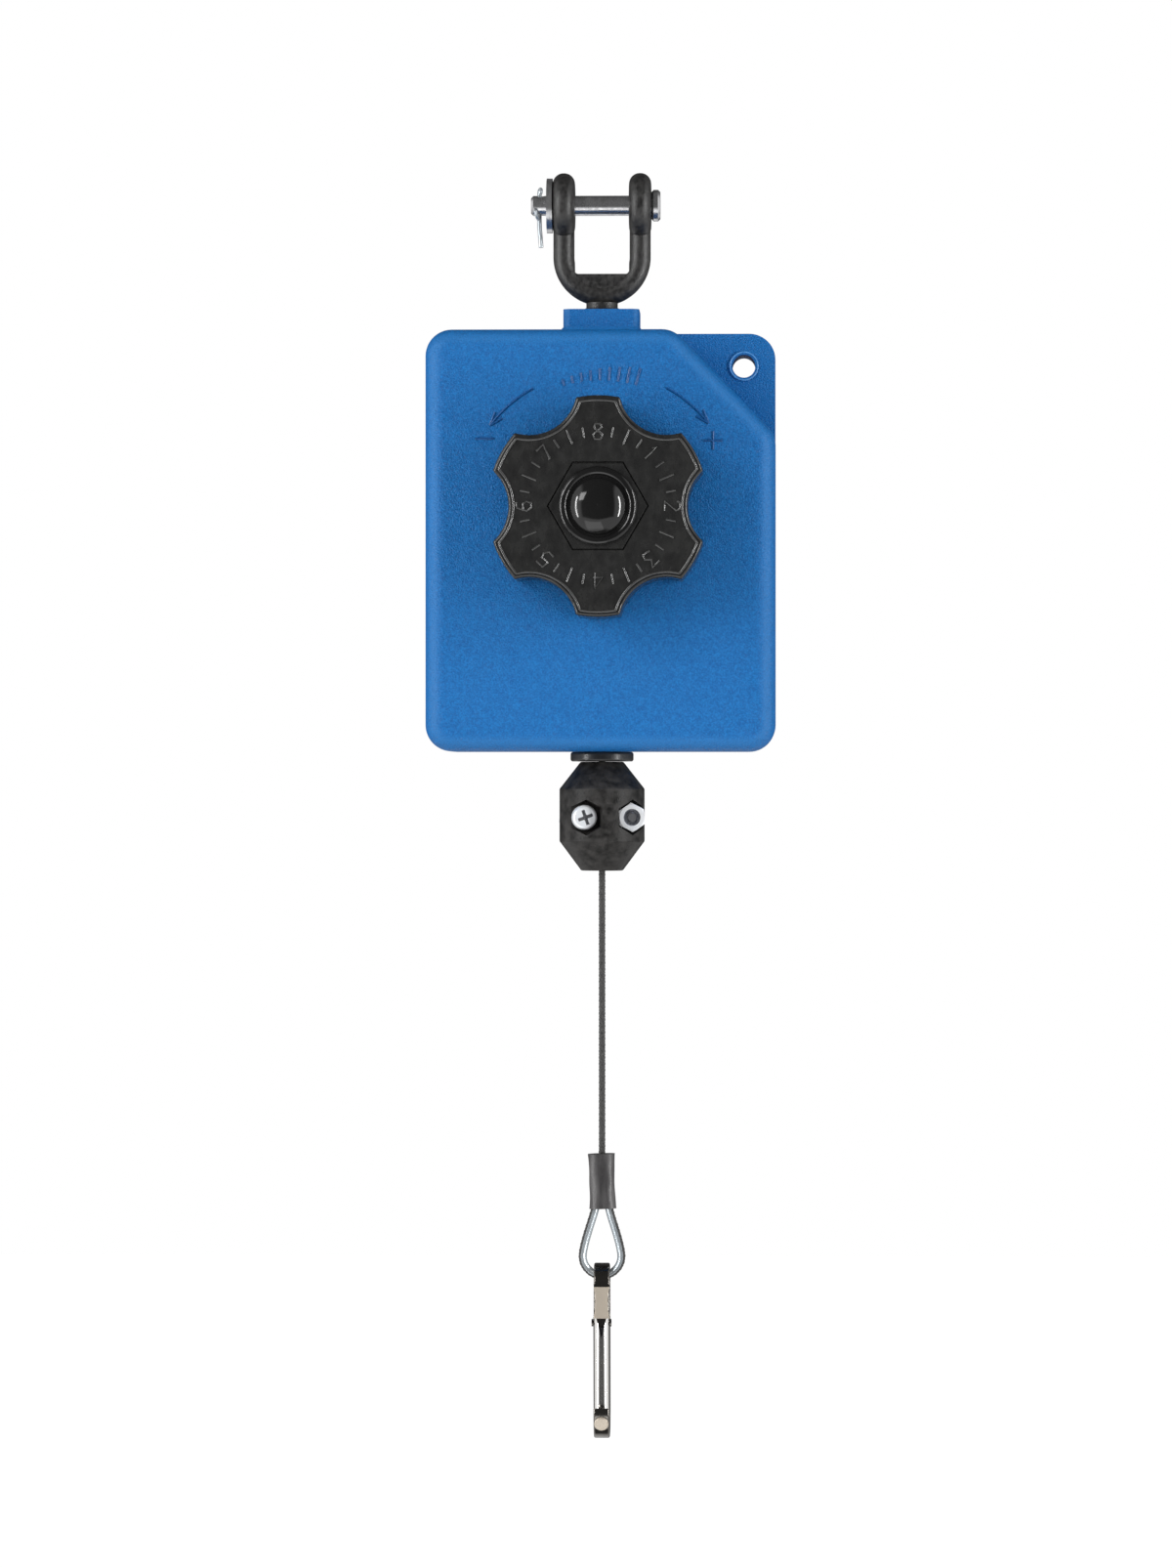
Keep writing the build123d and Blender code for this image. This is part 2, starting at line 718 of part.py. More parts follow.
def ratchet_wedges(base, turn):
    """All the saw teeth, turned by an angle."""
    wedge = ratchet_wedge(base)
    return [Rot(0, 0, turn + 360 / ratchet_count * k) * wedge for k in range(ratchet_count)]


def ratchet_ring():
    """Ring of saw teeth keyed into the case front."""
    plan = Circle(ratchet_out_r)
    plan += [Rot(0, 0, 360 / ring_key_count * k) * ring_key(0) for k in range(ring_key_count)]
    plan -= Circle(ratchet_in_r)
    ring = upright(plan, ring_floor, case_front_depth)
    return on_arbor(ring + ratchet_wedges(case_front_depth, 0))


def knob_outline(inset):
    """Six lobes between round scallops, moved inwards by an inset."""
    plan = Circle(knob_r - inset)
    step = 360 / knob_lobes
    return plan - [
        Pos(*at(scallop_at, step * k)) * Circle(scallop_r + inset) for k in range(knob_lobes)
    ]


def knob():
    """Hollow lobed knob with a hexagonal pocket in front and ratchet teeth behind."""
    solid_plan = fillet(knob_outline(0).vertices(), knob_corner_r)
    body = upright(solid_plan, knob_back, knob_face - knob_step)
    body = fillet(body.faces().sort_by(Axis.Z)[-1].edges(), knob_edge_r)
    face_plan = fillet(knob_outline(knob_step_in).vertices(), knob_corner_r)
    plateau = upright(face_plan, knob_face - knob_face_t, knob_face)
    body += fillet(plateau.faces().sort_by(Axis.Z)[-1].edges(), knob_step_r)
    hollow = upright(knob_outline(knob_wall) - Circle(knob_hub_r), knob_back, knob_face - knob_face_t)
    for k in range(knob_lobes):
        angle = 360 / knob_lobes * (k + 0.5)
        rib = Pos(*at(knob_r / 2, angle)) * Rot(0, 0, angle) * Rectangle(knob_r, knob_rib_t)
        hollow -= upright(rib, knob_back, knob_face)
    body -= hollow
    hub = tube(knob_hub_r, ratchet_in_r - rest_gap, knob_hub_end, knob_floor_back)
    hub -= tube(knob_hub_r, ratchet_out_r, knob_hub_end, knob_hub_end + ratchet_h + ratchet_gap)
    hub -= ratchet_wedges(knob_hub_end, -ratchet_back_off)
    body -= post(knob_hub_r, knob_back, knob_floor_back)
    body += hub
    pocket = RegularPolygon(hex_corners / 2 + hex_gap, 6)
    body -= upright(pocket, knob_floor_front, knob_face)
    body -= post(arbor_r + rest_gap, knob_floor_back, knob_floor_front)
    return on_arbor(body)


def drive_hex():
    """Hexagonal hub on the arbor's end that the knob slides along."""
    hub = upright(RegularPolygon(hex_corners / 2, 6), hex_back, knob_face)
    hub = chamfer(hub.faces().sort_by(Axis.Z)[-1].edges(), hex_bevel)
    hub -= post(cap_plug_d / 2 + seat_gap, hex_web_front, knob_face)
    hub -= post(hub_screw_d / 2 + seat_gap, hex_web_back, hex_web_front)
    hub -= upright(drive_plan(seat_gap), hex_back, hex_web_back)
    return on_arbor(hub)


def drive_plan(gap):
    """The arbor's front end: a round with two flats."""
    return Circle(arbor_r + gap) & Rectangle(2 * arbor_d, drive_flat + 2 * gap)


def arbor_shaft():
    """Stepped arbor with a slot for the spring, a shoulder and two flats at its front end."""
    shaft = post(arbor_r, rear_pocket, hex_back)
    shaft += post(arbor_shoulder_d / 2, shoulder_back, shoulder_front)
    shaft += upright(drive_plan(0), hex_back - seat_gap, hex_web_back - seat_gap)
    slot = Pos(arbor_r / 2, 0) * Rectangle(2 * arbor_r, strip_t + 2 * strip_slot_gap)
    shaft -= upright(slot, spring_back - strip_slot_gap, spring_front + strip_slot_gap)
    hole_end = hex_web_front - hub_screw_len - hub_screw_d / 2
    return on_arbor(shaft - post(hub_screw_d / 2 + run_gap, hole_end, hex_web_back))


def hub_screw():
    """Pan head screw that holds the hexagon on the arbor."""
    head = post(hub_screw_head_d / 2, hex_web_front, hex_web_front + hub_screw_head_h)
    head = fillet(head.faces().sort_by(Axis.Z)[-1].edges(), hub_screw_head_h * head_round)
    return on_arbor(head + post(hub_screw_d / 2, hex_web_front - hub_screw_len, hex_web_front))


def hub_cap():
    """Dome plug with a rolled rim, snapped into the hexagon."""
    rim_r = cap_d / 2
    dome_r = cap_dome_d / 2
    foot = knob_face + seat_gap
    groove = foot + cap_groove_up
    rim_mid = (rim_r + dome_r + 2 * cap_groove_w) / 2
    shoulder = (dome_r * cap_dome_shoulder, foot + cap_dome_h * cap_dome_bulge)
    dome = ThreePointArc((0, foot + cap_dome_h), shoulder, (dome_r, groove))
    rim = ThreePointArc((dome_r + cap_groove_w, groove), (rim_mid, foot + cap_rim_h), (rim_r, foot))
    neck = Line((dome_r, groove), (dome_r + cap_groove_w, groove))
    plug_end = knob_face - cap_plug_h
    inner = Polyline(
        (rim_r, foot),
        (cap_plug_d / 2, foot),
        (cap_plug_d / 2, plug_end),
        (cap_plug_d / 2 - cap_wall, plug_end),
        (cap_plug_d / 2 - cap_wall, foot + cap_shell_up),
        (0, foot + cap_shell_up),
        (0, foot + cap_dome_h),
    )
    face = make_face(Wire([dome, neck, rim] + list(inner.edges())))
    return on_arbor(revolve(Plane.XZ * face, Axis.Z))


def knob_spring():
    """Compression spring that keeps the knob's teeth in mesh."""
    low = knob_floor_front + knob_spring_wire_d / 2 + run_gap
    high = hex_back - knob_spring_wire_d / 2 - run_gap
    path = Pos(0, 0, low) * Helix((high - low) / knob_spring_turns, high - low, knob_spring_r)
    start = Plane(origin=path @ 0, z_dir=path % 0)
    return on_arbor(sweep(start * Circle(knob_spring_wire_d / 2), path=path))


def bearing(face, back, flange_from, flange_to):
    """Flanged bush on the arbor."""
    barrel = tube(bearing_out_r, bearing_in_r, min(face, back), max(face, back))
    return on_arbor(barrel + tube(bearing_out_r + bearing_wall, bearing_in_r, flange_from, flange_to))


def reel():
    """Cord drum with two flanges and an open spring case inside."""
    profile = [
        (bearing_in_r, reel_back),
        (reel_flange_r, reel_back),
        (reel_flange_r, -drum_half - reel_flange_slope),
        (drum_r, -drum_half),
        (drum_r, drum_half),
        (reel_flange_r, drum_half + reel_flange_slope),
        (reel_flange_r, cover_back),
        (spring_case_r, cover_back),
        (spring_case_r, -drum_half),
        (bearing_in_r, -drum_half),
    ]
    body = turned(profile)
    slot_end = spring_case_r + strip_hook + 2 * rest_gap
    slot = Pos(slot_end / 2, 0) * Rectangle(slot_end, strip_t + 2 * strip_slot_gap)
    slot &= Circle(slot_end) - Circle(spring_case_r - strip_t)
    body -= upright(slot, spring_back - strip_slot_gap, cover_back)
    screw_hole = Circle(reel_screw_d / 2 + run_gap)
    for x, y in reel_screw_places():
        body -= upright(Pos(x, y) * screw_hole, cover_back - reel_screw_len, cover_back)
    window_r = (reel_flange_r + drum_r) / 2 + reel_flange_t
    for k in range(reel_screw_count):
        hole = Pos(*at(window_r, 360 / reel_screw_count * k)) * Circle(reel_flange_t)
        body -= upright(hole, cover_back - 2 * reel_flange_t, cover_back)
    return on_arbor(body)


def reel_screw_places():
    """The cover's screws, in the drum's wall."""
    radius = spring_case_r + drum_wall / 2
    return [at(radius, 360 / reel_screw_count * (k + 0.5)) for k in range(reel_screw_count)]


def reel_cover():
    """Disc that closes the spring case."""
    plan = Circle(cover_r) - Circle(bearing_in_r)
    plan -= [Pos(x, y) * Circle(reel_screw_d / 2 + run_gap) for x, y in reel_screw_places()]
    return on_arbor(upright(plan, cover_back, cover_front))


def reel_screws():
    """The cover's screws."""
    screws = []
    for x, y in reel_screw_places():
        shank = upright(Pos(x, y) * Circle(reel_screw_d / 2), cover_front - reel_screw_len, cover_front)
        head = Pos(x, y) * Circle(reel_screw_head_d / 2)
        screws.append(on_arbor(shank + upright(head, cover_front, cover_front + reel_screw_head_h)))
    return screws


def power_spring():
    """Flat spiral of half-turn arcs, hooked into the arbor and into the drum's wall."""
    arcs = []
    for k in range(spring_half_turns):
        shift = spring_pitch / 4 * (1 if k % 2 else -1)
        arcs.append(CenterArc((shift, 0), spring_in_r + spring_pitch / 2 * k, 180 * (k % 2), 180))
    inner_x = spring_in_r - spring_pitch / 4
    outer_x = spring_in_r + spring_pitch / 2 * (spring_half_turns - 1) + spring_pitch / 4
    hook_end = spring_case_r + strip_hook
    strip = trace(arcs, line_width=strip_t)
    strip += Pos(inner_x / 2 + strip_t / 4, 0) * Rectangle(inner_x + strip_t / 2, strip_t)
    strip += Pos((outer_x + hook_end) / 2, 0) * Rectangle(hook_end - outer_x + strip_t / 2, strip_t)
    return on_arbor(upright(strip, spring_back, spring_front))


def wound_cord():
    """The turns of cord stored on the drum, as one plain sleeve."""
    half = reel_turns * wind_pitch / 2
    return on_arbor(tube(wind_r + cord_d / 2, drum_r + run_gap, -half, half))


def swept_cord(path, start, direction):
    """A cord's tube along a path."""
    return sweep(Plane(origin=start, z_dir=direction) * Circle(cord_d / 2), path=path)


def bend_radii(points):
    """For each corner of a route, a share of the shorter run divided by the tangent of half the turn."""
    radii = []
    for before, corner, after in zip(points, points[1:], points[2:]):
        run_in = Vector(*corner) - Vector(*before)
        run_out = Vector(*after) - Vector(*corner)
        turn = radians(run_in.get_angle(run_out))
        radii.append(bend_share * min(run_in.length, run_out.length) / tan(turn / 2))
    return radii


def cord_lead():
    """The cord between the guide's throat and the drum's left side."""
    start = line_top + payout_len
    end_x, end_up = at(wind_r + cord_d + lead_gap, lead_end_angle)
    rise = arbor_z + end_up - start
    points = [
        (0, start),
        (0, start + lead_straight),
        (end_x * lead_mid_across, start + rise * lead_mid_up),
        (end_x, start + rise),
    ]
    print("cord lead points", points)
    radii = bend_radii(points)
    print("cord lead bend radii", [round(r, 1) for r in radii])
    path = Plane.XZ * FilletPolyline(*points, radius=radii)
    return swept_cord(path, (0, 0, start), (0, 0, 1))


def cord_payout():
    """The short stretch in the guide that grows as the cord is drawn."""
    return post(cord_d / 2, line_top, line_top + payout_len)


def loop_touch():
    """The angle below the horizontal at which the strands leave the loop's round bottom."""
    reach = hypot(strand_at, loop_drop)
    return degrees(asin(loop_r / reach) - atan2(strand_at, loop_drop))


def cord():
    """The drawn cord: straight through the stop, then a loop round the thimble and back to the ferrule."""
    spread = loop_touch()
    touch_x, touch_up = at(loop_r, spread)
    touch_z = loop_z + touch_up
    down = [
        (0, line_top),
        (0, ferrule_top + jog_len),
        (-strand_at, ferrule_top),
        (-strand_at, ferrule_bottom),
        (-touch_x, touch_z),
    ]
    back = [(touch_x, touch_z), (strand_at, ferrule_bottom), (strand_at, ferrule_top + seat_gap)]
    down_radii = bend_radii(down)
    back_radii = bend_radii(back)
    print("cord bend radii", [round(r, 1) for r in down_radii + [loop_r] + back_radii])
    first = FilletPolyline(*down, radius=down_radii)
    round_part = ThreePointArc((-touch_x, touch_z), (0, loop_z - loop_r), (touch_x, touch_z))
    last = FilletPolyline(*back, radius=back_radii)
    path = Plane.XZ * Wire(list(first.edges()) + [round_part] + list(last.edges()))
    return swept_cord(path, (0, 0, line_top), (0, 0, -1))


def ferrule():
    """Oval crimp sleeve round the two strands."""
    in_w = 2 * strand_at + cord_d + 2 * ferrule_gap
    in_d = cord_d + 2 * ferrule_gap
    outer = SlotOverall(in_w + 2 * ferrule_wall, in_d + 2 * ferrule_wall)
    return upright(outer - SlotOverall(in_w, in_d), ferrule_bottom, ferrule_top)


def sleeve_cover():
    """Shrink sleeve over the crimp, drawn in round the cord at its top."""
    outer = SlotOverall(sleeve_d, sleeve_deep)
    inner = SlotOverall(sleeve_d - 2 * sleeve_wall, sleeve_deep - 2 * sleeve_wall)
    sleeve = upright(outer, sleeve_bottom, sleeve_top)
    sleeve -= upright(inner, sleeve_bottom, sleeve_top - sleeve_wall)
    return sleeve - post(cord_d / 2 + rest_gap, sleeve_bottom, sleeve_top)


def thimble():
    """Teardrop of grooved strip inside the loop."""
    spread = loop_touch()
    touch_x, touch_up = at(loop_r, spread)
    touch_z = loop_z + touch_up
    slope = tan(radians(spread))
    tip_z = ferrule_bottom - thimble_start
    tip_x = strand_at + thimble_start * slope
    left = Line((-tip_x, tip_z), (-touch_x, touch_z))
    round_part = ThreePointArc((-touch_x, touch_z), (0, loop_z - loop_r), (touch_x, touch_z))
    right = Line((touch_x, touch_z), (tip_x, tip_z))
    path = Plane.XZ * Wire([left, round_part, right])
    run = (-touch_x + tip_x, 0, touch_z - tip_z)
    start = Plane(origin=(-tip_x, 0, tip_z), x_dir=(0, 1, 0), z_dir=run)
    outward = 1 if start.y_dir.X < 0 else -1
    middle = (thimble_out - thimble_in) / 2
    section = Pos(0, outward * middle) * Rectangle(thimble_w, thimble_out + thimble_in)
    groove_r = cord_d / 2 + run_gap
    section -= Circle(groove_r)
    section -= Pos(0, outward * thimble_out) * Rectangle(2 * groove_r, 2 * thimble_out)
    return sweep(start * section, path=path)


def stop_profile():
    """Half of the stop's outline, in radius and height."""
    waist_top = stop_top - stop_top_cone
    waist_bottom = waist_top - stop_body
    corners = [
        (0, stop_top),
        (stop_top_d / 2, stop_top),
        (stop_d / 2, waist_top),
        (stop_d / 2, waist_bottom),
        (stop_bottom_d / 2, stop_bottom),
        (0, stop_bottom),
    ]
    face = make_face(Polyline(*corners, close=True))
    rims = [v for v in face.vertices() if v.X > cord_d]
    return fillet(rims, stop_edge_r)


def stop_half(side):
    """One half of the clamped stop, with a pocket for a screw head and one for a nut."""
    whole = revolve(Plane.XZ * stop_profile(), Axis.Z)
    depth = stop_d
    half_box = Pos(0, side * (stop_split / 2 + depth / 2), stop_top) * Box(2 * stop_d, depth, 4 * stop_d)
    half = whole & half_box
    half -= post(cord_d / 2 + run_gap, stop_bottom, stop_top)
    for x in (-stop_screw_at, stop_screw_at):
        screw_z = stop_top - stop_screw_down
        half -= slab(Pos(x, screw_z) * Circle(stop_screw_d / 2 + seat_gap), stop_d, -stop_d)
        pocket = Pos(x, screw_z) * RegularPolygon(stop_pocket_corners / 2, 6, rotation=30)
        near, far = stop_pocket_floor, stop_d
        half -= slab(pocket, max(side * near, side * far), min(side * near, side * far))
    return Rot(0, 0, stop_turn) * half


def stop_screws():
    """Two pan head screws from opposite sides."""
    screws = []
    for side in (-1, 1):
        x = side * stop_screw_at
        z = stop_top - stop_screw_down
        floor = stop_pocket_floor
        far_end = floor + stop_nut_t
        shank_to = (-side) * far_end
        head_from = side * floor
        head_to = side * (floor + stop_head_h)
        shank = slab(Pos(x, z) * Circle(stop_screw_d / 2), max(head_from, shank_to), min(head_from, shank_to))
        head = slab(Pos(x, z) * Circle(stop_head_d / 2), max(head_from, head_to), min(head_from, head_to))
        outer_face = head.faces().sort_by(Axis.Y)[-1 if side > 0 else 0]
        head = fillet(outer_face.edges(), stop_head_h * head_round)
        screws.append(Rot(0, 0, stop_turn) * (shank + head))
    return screws


def stop_nuts():
    """The two nuts, one in each half."""
    nuts = []
    for side in (-1, 1):
        x = side * stop_screw_at
        z = stop_top - stop_screw_down
        near = -side * stop_pocket_floor
        far = -side * (stop_pocket_floor + stop_nut_t)
        nut = slab(Pos(x, z) * hexagon(stop_nut_af), max(near, far), min(near, far))
        bore = slab(Pos(x, z) * Circle(stop_screw_d / 2 + run_gap), max(near, far), min(near, far))
        nuts.append(Rot(0, 0, stop_turn) * (nut - bore))
    return nuts


def front_leg_at(z):
    """Depth of the hook's front leg at a height, on its middle line."""
    touch_y, touch_up = at(hook_top_r, hook_lean)
    return -(touch_y + (hook_top_z + touch_up - z) * tan(radians(hook_lean)))


def hook_pivot():
    """The gate's pivot, in depth and height."""
    touch_up = at(hook_top_r, hook_lean)[1]
    z = hook_top_z + touch_up - plate_len - rivet_down
    return (front_leg_at(z), z)


def leg_plane(z):
    """A plane on the front leg's middle line that faces forwards, with its y axis up along the leg."""
    lean = radians(hook_lean)
    return Plane(origin=(0, front_leg_at(z), z), x_dir=(1, 0, 0), z_dir=(0, -cos(lean), sin(lean)))


def hook_body():
    """Strip steel bent into a pear, with a waisted plate and a tang for the gate."""
    pivot_y, pivot_z = hook_pivot()
    end_z = pivot_z - tang_down
    top_touch = at(hook_top_r, hook_lean)
    bottom_touch = at(hook_bottom_r, hook_lean)
    leg = Line((front_leg_at(end_z), end_z), (-top_touch[0], hook_top_z + top_touch[1]))
    crown = ThreePointArc(
        (-top_touch[0], hook_top_z + top_touch[1]),
        (0, hook_top_z + hook_top_r),
        (top_touch[0], hook_top_z + top_touch[1]),
    )
    spine = Line(
        (top_touch[0], hook_top_z + top_touch[1]), (bottom_touch[0], hook_bottom_z + bottom_touch[1])
    )
    nose_y, nose_up = at(hook_bottom_r, 180 - nose_over)
    sole = ThreePointArc(
        (bottom_touch[0], hook_bottom_z + bottom_touch[1]),
        (0, hook_bottom_z - hook_bottom_r),
        (nose_y, hook_bottom_z + nose_up),
    )
    path = Plane.YZ * Wire([leg, crown, spine, sole])
    lean = radians(hook_lean)
    start = Plane(origin=(0, front_leg_at(end_z), end_z), x_dir=(1, 0, 0), z_dir=(0, sin(lean), cos(lean)))
    section = fillet(Rectangle(strip_w, hook_t).vertices(), hook_edge_r)
    body = sweep(start * section, path=path)
    plane = leg_plane(pivot_z)
    for side in (-1, 1):
        cheek = Rectangle(strip_w, 2 * tang_up + 2 * tang_down, align=(Align.CENTER, Align.MAX))
        body -= extrude(plane * Pos(side * (tang_w + strip_w) / 2, tang_up) * cheek, hook_t, both=True)
    body += waisted_plate(plane)
    return body - Pos(0, pivot_y, pivot_z) * Rot(0, 90, 0) * post(rivet_d / 2 + run_gap, -strip_w, strip_w)


def waisted_plate(plane):
    """The pressed pad above the gate, narrow at its middle."""
    low = tang_up - plate_t
    high = low + plate_len
    half = plate_w / 2
    sides = [
        Line((-half, low), (half, low)),
        ThreePointArc((half, low), (plate_waist / 2, (low + high) / 2), (half, high)),
        Line((half, high), (-half, high)),
        ThreePointArc((-half, high), (-plate_waist / 2, (low + high) / 2), (-half, low)),
    ]
    pad = make_face(Wire(sides))
    return extrude(plane.offset(hook_t / 2 - hook_edge_r / 2) * pad, plate_t + hook_edge_r / 2)


def gate_plane():
    """The gate's own frame at its pivot: y axis up along the gate, z axis forwards."""
    pivot_y, pivot_z = hook_pivot()
    lean = radians(gate_slant)
    return Plane(origin=(0, pivot_y, pivot_z), x_dir=(1, 0, 0), z_dir=(0, -cos(lean), -sin(lean)))


def hook_gate():
    """Channel with a round front, an open notch at its top and a seam down its front."""
    frame = gate_plane()
    end = Plane(origin=frame.origin - frame.y_dir * gate_len, x_dir=(1, 0, 0), z_dir=frame.y_dir)
    half = gate_w / 2
    inner = half - gate_wall
    forward = 1 if end.y_dir.Y < 0 else -1
    outer = Circle(half) & (Pos(0, forward * half / 2) * Rectangle(gate_w, half))
    outer += Pos(0, -forward * gate_back / 2) * Rectangle(gate_w, gate_back)
    hollow = Circle(inner) & (Pos(0, forward * half / 2) * Rectangle(gate_w, half))
    hollow += Pos(0, -forward * gate_back / 2) * Rectangle(2 * inner, gate_back)
    gate = extrude(end * (outer - hollow), gate_len + gate_up)
    notch = make_face(
        Polyline(
            (-gate_notch_w / 2, gate_up),
            (gate_notch_w / 2, gate_up),
            (0, -gate_notch_len),
            close=True,
        )
    )
    gate -= extrude(frame * notch, half + gate_wall)
    seam = Pos(0, -gate_len / 2) * Rectangle(gate_seam_w, gate_len)
    gate -= extrude(frame.offset(half - gate_seam_deep) * seam, gate_wall)
    pivot_y, pivot_z = hook_pivot()
    return gate - Pos(0, pivot_y, pivot_z) * Rot(0, 90, 0) * post(rivet_d / 2 + run_gap, -gate_w, gate_w)


def gate_rivet():
    """Rivet across the tang and the gate's two sides."""
    pivot_y, pivot_z = hook_pivot()
    outside = gate_w / 2 + run_gap
    rivet = post(rivet_d / 2, -outside, outside)
    rivet += post(rivet_head_d / 2, outside, outside + rivet_head_t)
    rivet += post(rivet_head_d / 2, -outside - rivet_head_t, -outside)
    return Pos(0, pivot_y, pivot_z) * Rot(0, 90, 0) * rivet


def gate_spring():
    """Leaf spring between the tang's end and the inside of the gate."""
    frame = gate_plane()
    inner = gate_w / 2 - gate_wall - rest_gap - leaf_t
    start = tang_down + rest_gap
    leaf = make_face(
        Polyline(
            (0, -start),
            (leaf_t, -start),
            (inner, -start - leaf_len),
            (inner - leaf_t, -start - leaf_len),
            close=True,
        )
    )
    side_view = Plane(origin=frame.origin, x_dir=frame.z_dir, z_dir=(-1, 0, 0))
    if side_view.y_dir.Z < 0:
        side_view = Plane(origin=frame.origin, x_dir=frame.z_dir, z_dir=(1, 0, 0))
    return extrude(side_view * leaf, tang_w / 2 - seat_gap, both=True)


def nose_rivet():
    """Round head on the outside of the hook's nose."""
    y, up = at(hook_bottom_r + hook_t / 2, 180 + nose_rivet_angle)
    dy, dz = at(1, 180 + nose_rivet_angle)
    plane = Plane(origin=(0, y, hook_bottom_z + up), x_dir=(1, 0, 0), z_dir=(0, dy, dz))
    head = extrude(plane.offset(run_gap) * Circle(nose_rivet_d / 2), nose_rivet_t)
    outer = head.faces().sort_by(Axis.Y)[0]
    return fillet(outer.edges(), nose_rivet_t * rivet_round)


pieces = {
    "clevis_yoke": clevis_yoke(),
    "clevis_pin": clevis_pin(),
    "pin_washer": pin_washer(),
    "cotter_pin": cotter_pin(),
    "swivel_stud": swivel_stud(),
    "thrust_washer": thrust_washer(),
    "swivel_bush": swivel_bush(),
    "swivel_washer": swivel_washer(),
    "swivel_nut": swivel_nut(),
    "front_shell": front_shell(),
    "rear_shell": rear_shell(),
    "case_screws": case_screws(),
    "cord_guide": cord_guide(),
    "ratchet_ring": ratchet_ring(),
    "front_bush": bearing(front_boss_face, ring_floor - seat_gap, front_bush_face, front_boss_face),
    "rear_bush": bearing(rear_boss_face, rear_pocket, rear_boss_face, rear_bush_face),
    "arbor_shaft": arbor_shaft(),
    "drive_hex": drive_hex(),
    "hub_screw": hub_screw(),
    "hub_cap": hub_cap(),
    "knob": knob(),
    "knob_spring": knob_spring(),
    "reel": reel(),
    "reel_cover": reel_cover(),
    "reel_screws": reel_screws(),
    "power_spring": power_spring(),
    "wound_cord": wound_cord(),
    "cord_lead": cord_lead(),
    "cord_payout": cord_payout(),
    "cord": cord(),
    "ferrule": ferrule(),
    "sleeve_cover": sleeve_cover(),
    "thimble": thimble(),
    "stop_front_half": stop_half(-1),
    "stop_rear_half": stop_half(1),
    "stop_screws": stop_screws(),
    "stop_nuts": stop_nuts(),
    "hook_body": hook_body(),
    "hook_gate": hook_gate(),
    "gate_rivet": gate_rivet(),
    "gate_spring": gate_spring(),
    "nose_rivet": nose_rivet(),
}

os.makedirs("parts", exist_ok=True)
for name, piece in pieces.items():
    shape = Compound(children=piece) if isinstance(piece, list) else piece
    export_step(shape, f"parts/{name}.step")
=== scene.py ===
"""Looks of a tool retractor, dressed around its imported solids.

Every finish is a small frozen class, every sub-assembly is a class with its sizes as fields, and main()
builds them in order. Lengths are metres, +Z is up and the front faces -Y.
"""

import logging
import math
from dataclasses import dataclass, field
from enum import Enum
from typing import Callable, Iterable, Sequence

import bmesh
import bpy
from mathutils import Matrix, Vector

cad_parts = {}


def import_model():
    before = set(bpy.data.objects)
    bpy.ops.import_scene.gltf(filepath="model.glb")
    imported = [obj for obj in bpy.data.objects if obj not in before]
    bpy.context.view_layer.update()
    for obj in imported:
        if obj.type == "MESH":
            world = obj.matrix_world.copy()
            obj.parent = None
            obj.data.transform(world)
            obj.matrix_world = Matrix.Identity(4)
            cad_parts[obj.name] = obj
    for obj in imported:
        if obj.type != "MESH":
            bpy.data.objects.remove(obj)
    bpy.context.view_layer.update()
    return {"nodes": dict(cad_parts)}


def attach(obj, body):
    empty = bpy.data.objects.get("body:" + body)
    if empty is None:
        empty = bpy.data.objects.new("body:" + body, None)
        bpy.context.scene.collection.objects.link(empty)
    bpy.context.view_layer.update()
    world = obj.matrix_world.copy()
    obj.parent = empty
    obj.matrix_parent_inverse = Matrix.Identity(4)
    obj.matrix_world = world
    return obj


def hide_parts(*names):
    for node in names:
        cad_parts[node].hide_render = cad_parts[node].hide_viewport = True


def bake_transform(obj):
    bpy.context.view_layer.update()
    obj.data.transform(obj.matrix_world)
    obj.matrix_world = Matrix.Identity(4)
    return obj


LOG = logging.getLogger("retractor")
MM = 0.001
TWO_PI = 2 * math.pi
SAME_PLACE = 0.001 * MM  # corners of a CAD mesh that are closer than this are one

Point = tuple[float, float, float]
Colour = tuple[float, float, float]
Piece = bpy.types.Object
CadNodes = dict[str, bpy.types.Object]
Tree = bpy.types.NodeTree
Node = bpy.types.Node
Socket = bpy.types.NodeSocket

# Plain numbers 1 to 8, each as lines in a box one wide and one high about its middle
DIGITS = (
    (((-0.25, 0.3), (0.0, 0.5), (0.0, -0.5)),),
    (((-0.5, 0.3), (-0.3, 0.5), (0.3, 0.5), (0.5, 0.25), (-0.5, -0.5), (0.5, -0.5)),),
    (((-0.5, 0.5), (0.5, 0.5), (0.0, 0.1), (0.5, -0.2), (0.3, -0.5), (-0.5, -0.4)),),
    (((0.3, -0.5), (0.3, 0.5), (-0.5, -0.2), (0.5, -0.2)),),
    (((0.5, 0.5), (-0.4, 0.5), (-0.5, 0.05), (0.3, 0.1), (0.5, -0.2), (0.2, -0.5), (-0.5, -0.45)),),
    (
        (
            (0.4, 0.5), (-0.2, 0.4), (-0.5, -0.2), (-0.2, -0.5), (0.3, -0.5), (0.5, -0.2), (0.2, 0.05),
            (-0.5, 0.0),
        ),
    ),
    (((-0.5, 0.5), (0.5, 0.5), (-0.1, -0.5)),),
    (
        ((0.0, 0.05), (0.4, 0.25), (0.25, 0.5), (-0.25, 0.5), (-0.4, 0.25), (0.0, 0.05)),
        ((0.0, 0.05), (0.5, -0.2), (0.3, -0.5), (-0.3, -0.5), (-0.5, -0.2), (0.0, 0.05)),
    ),
)


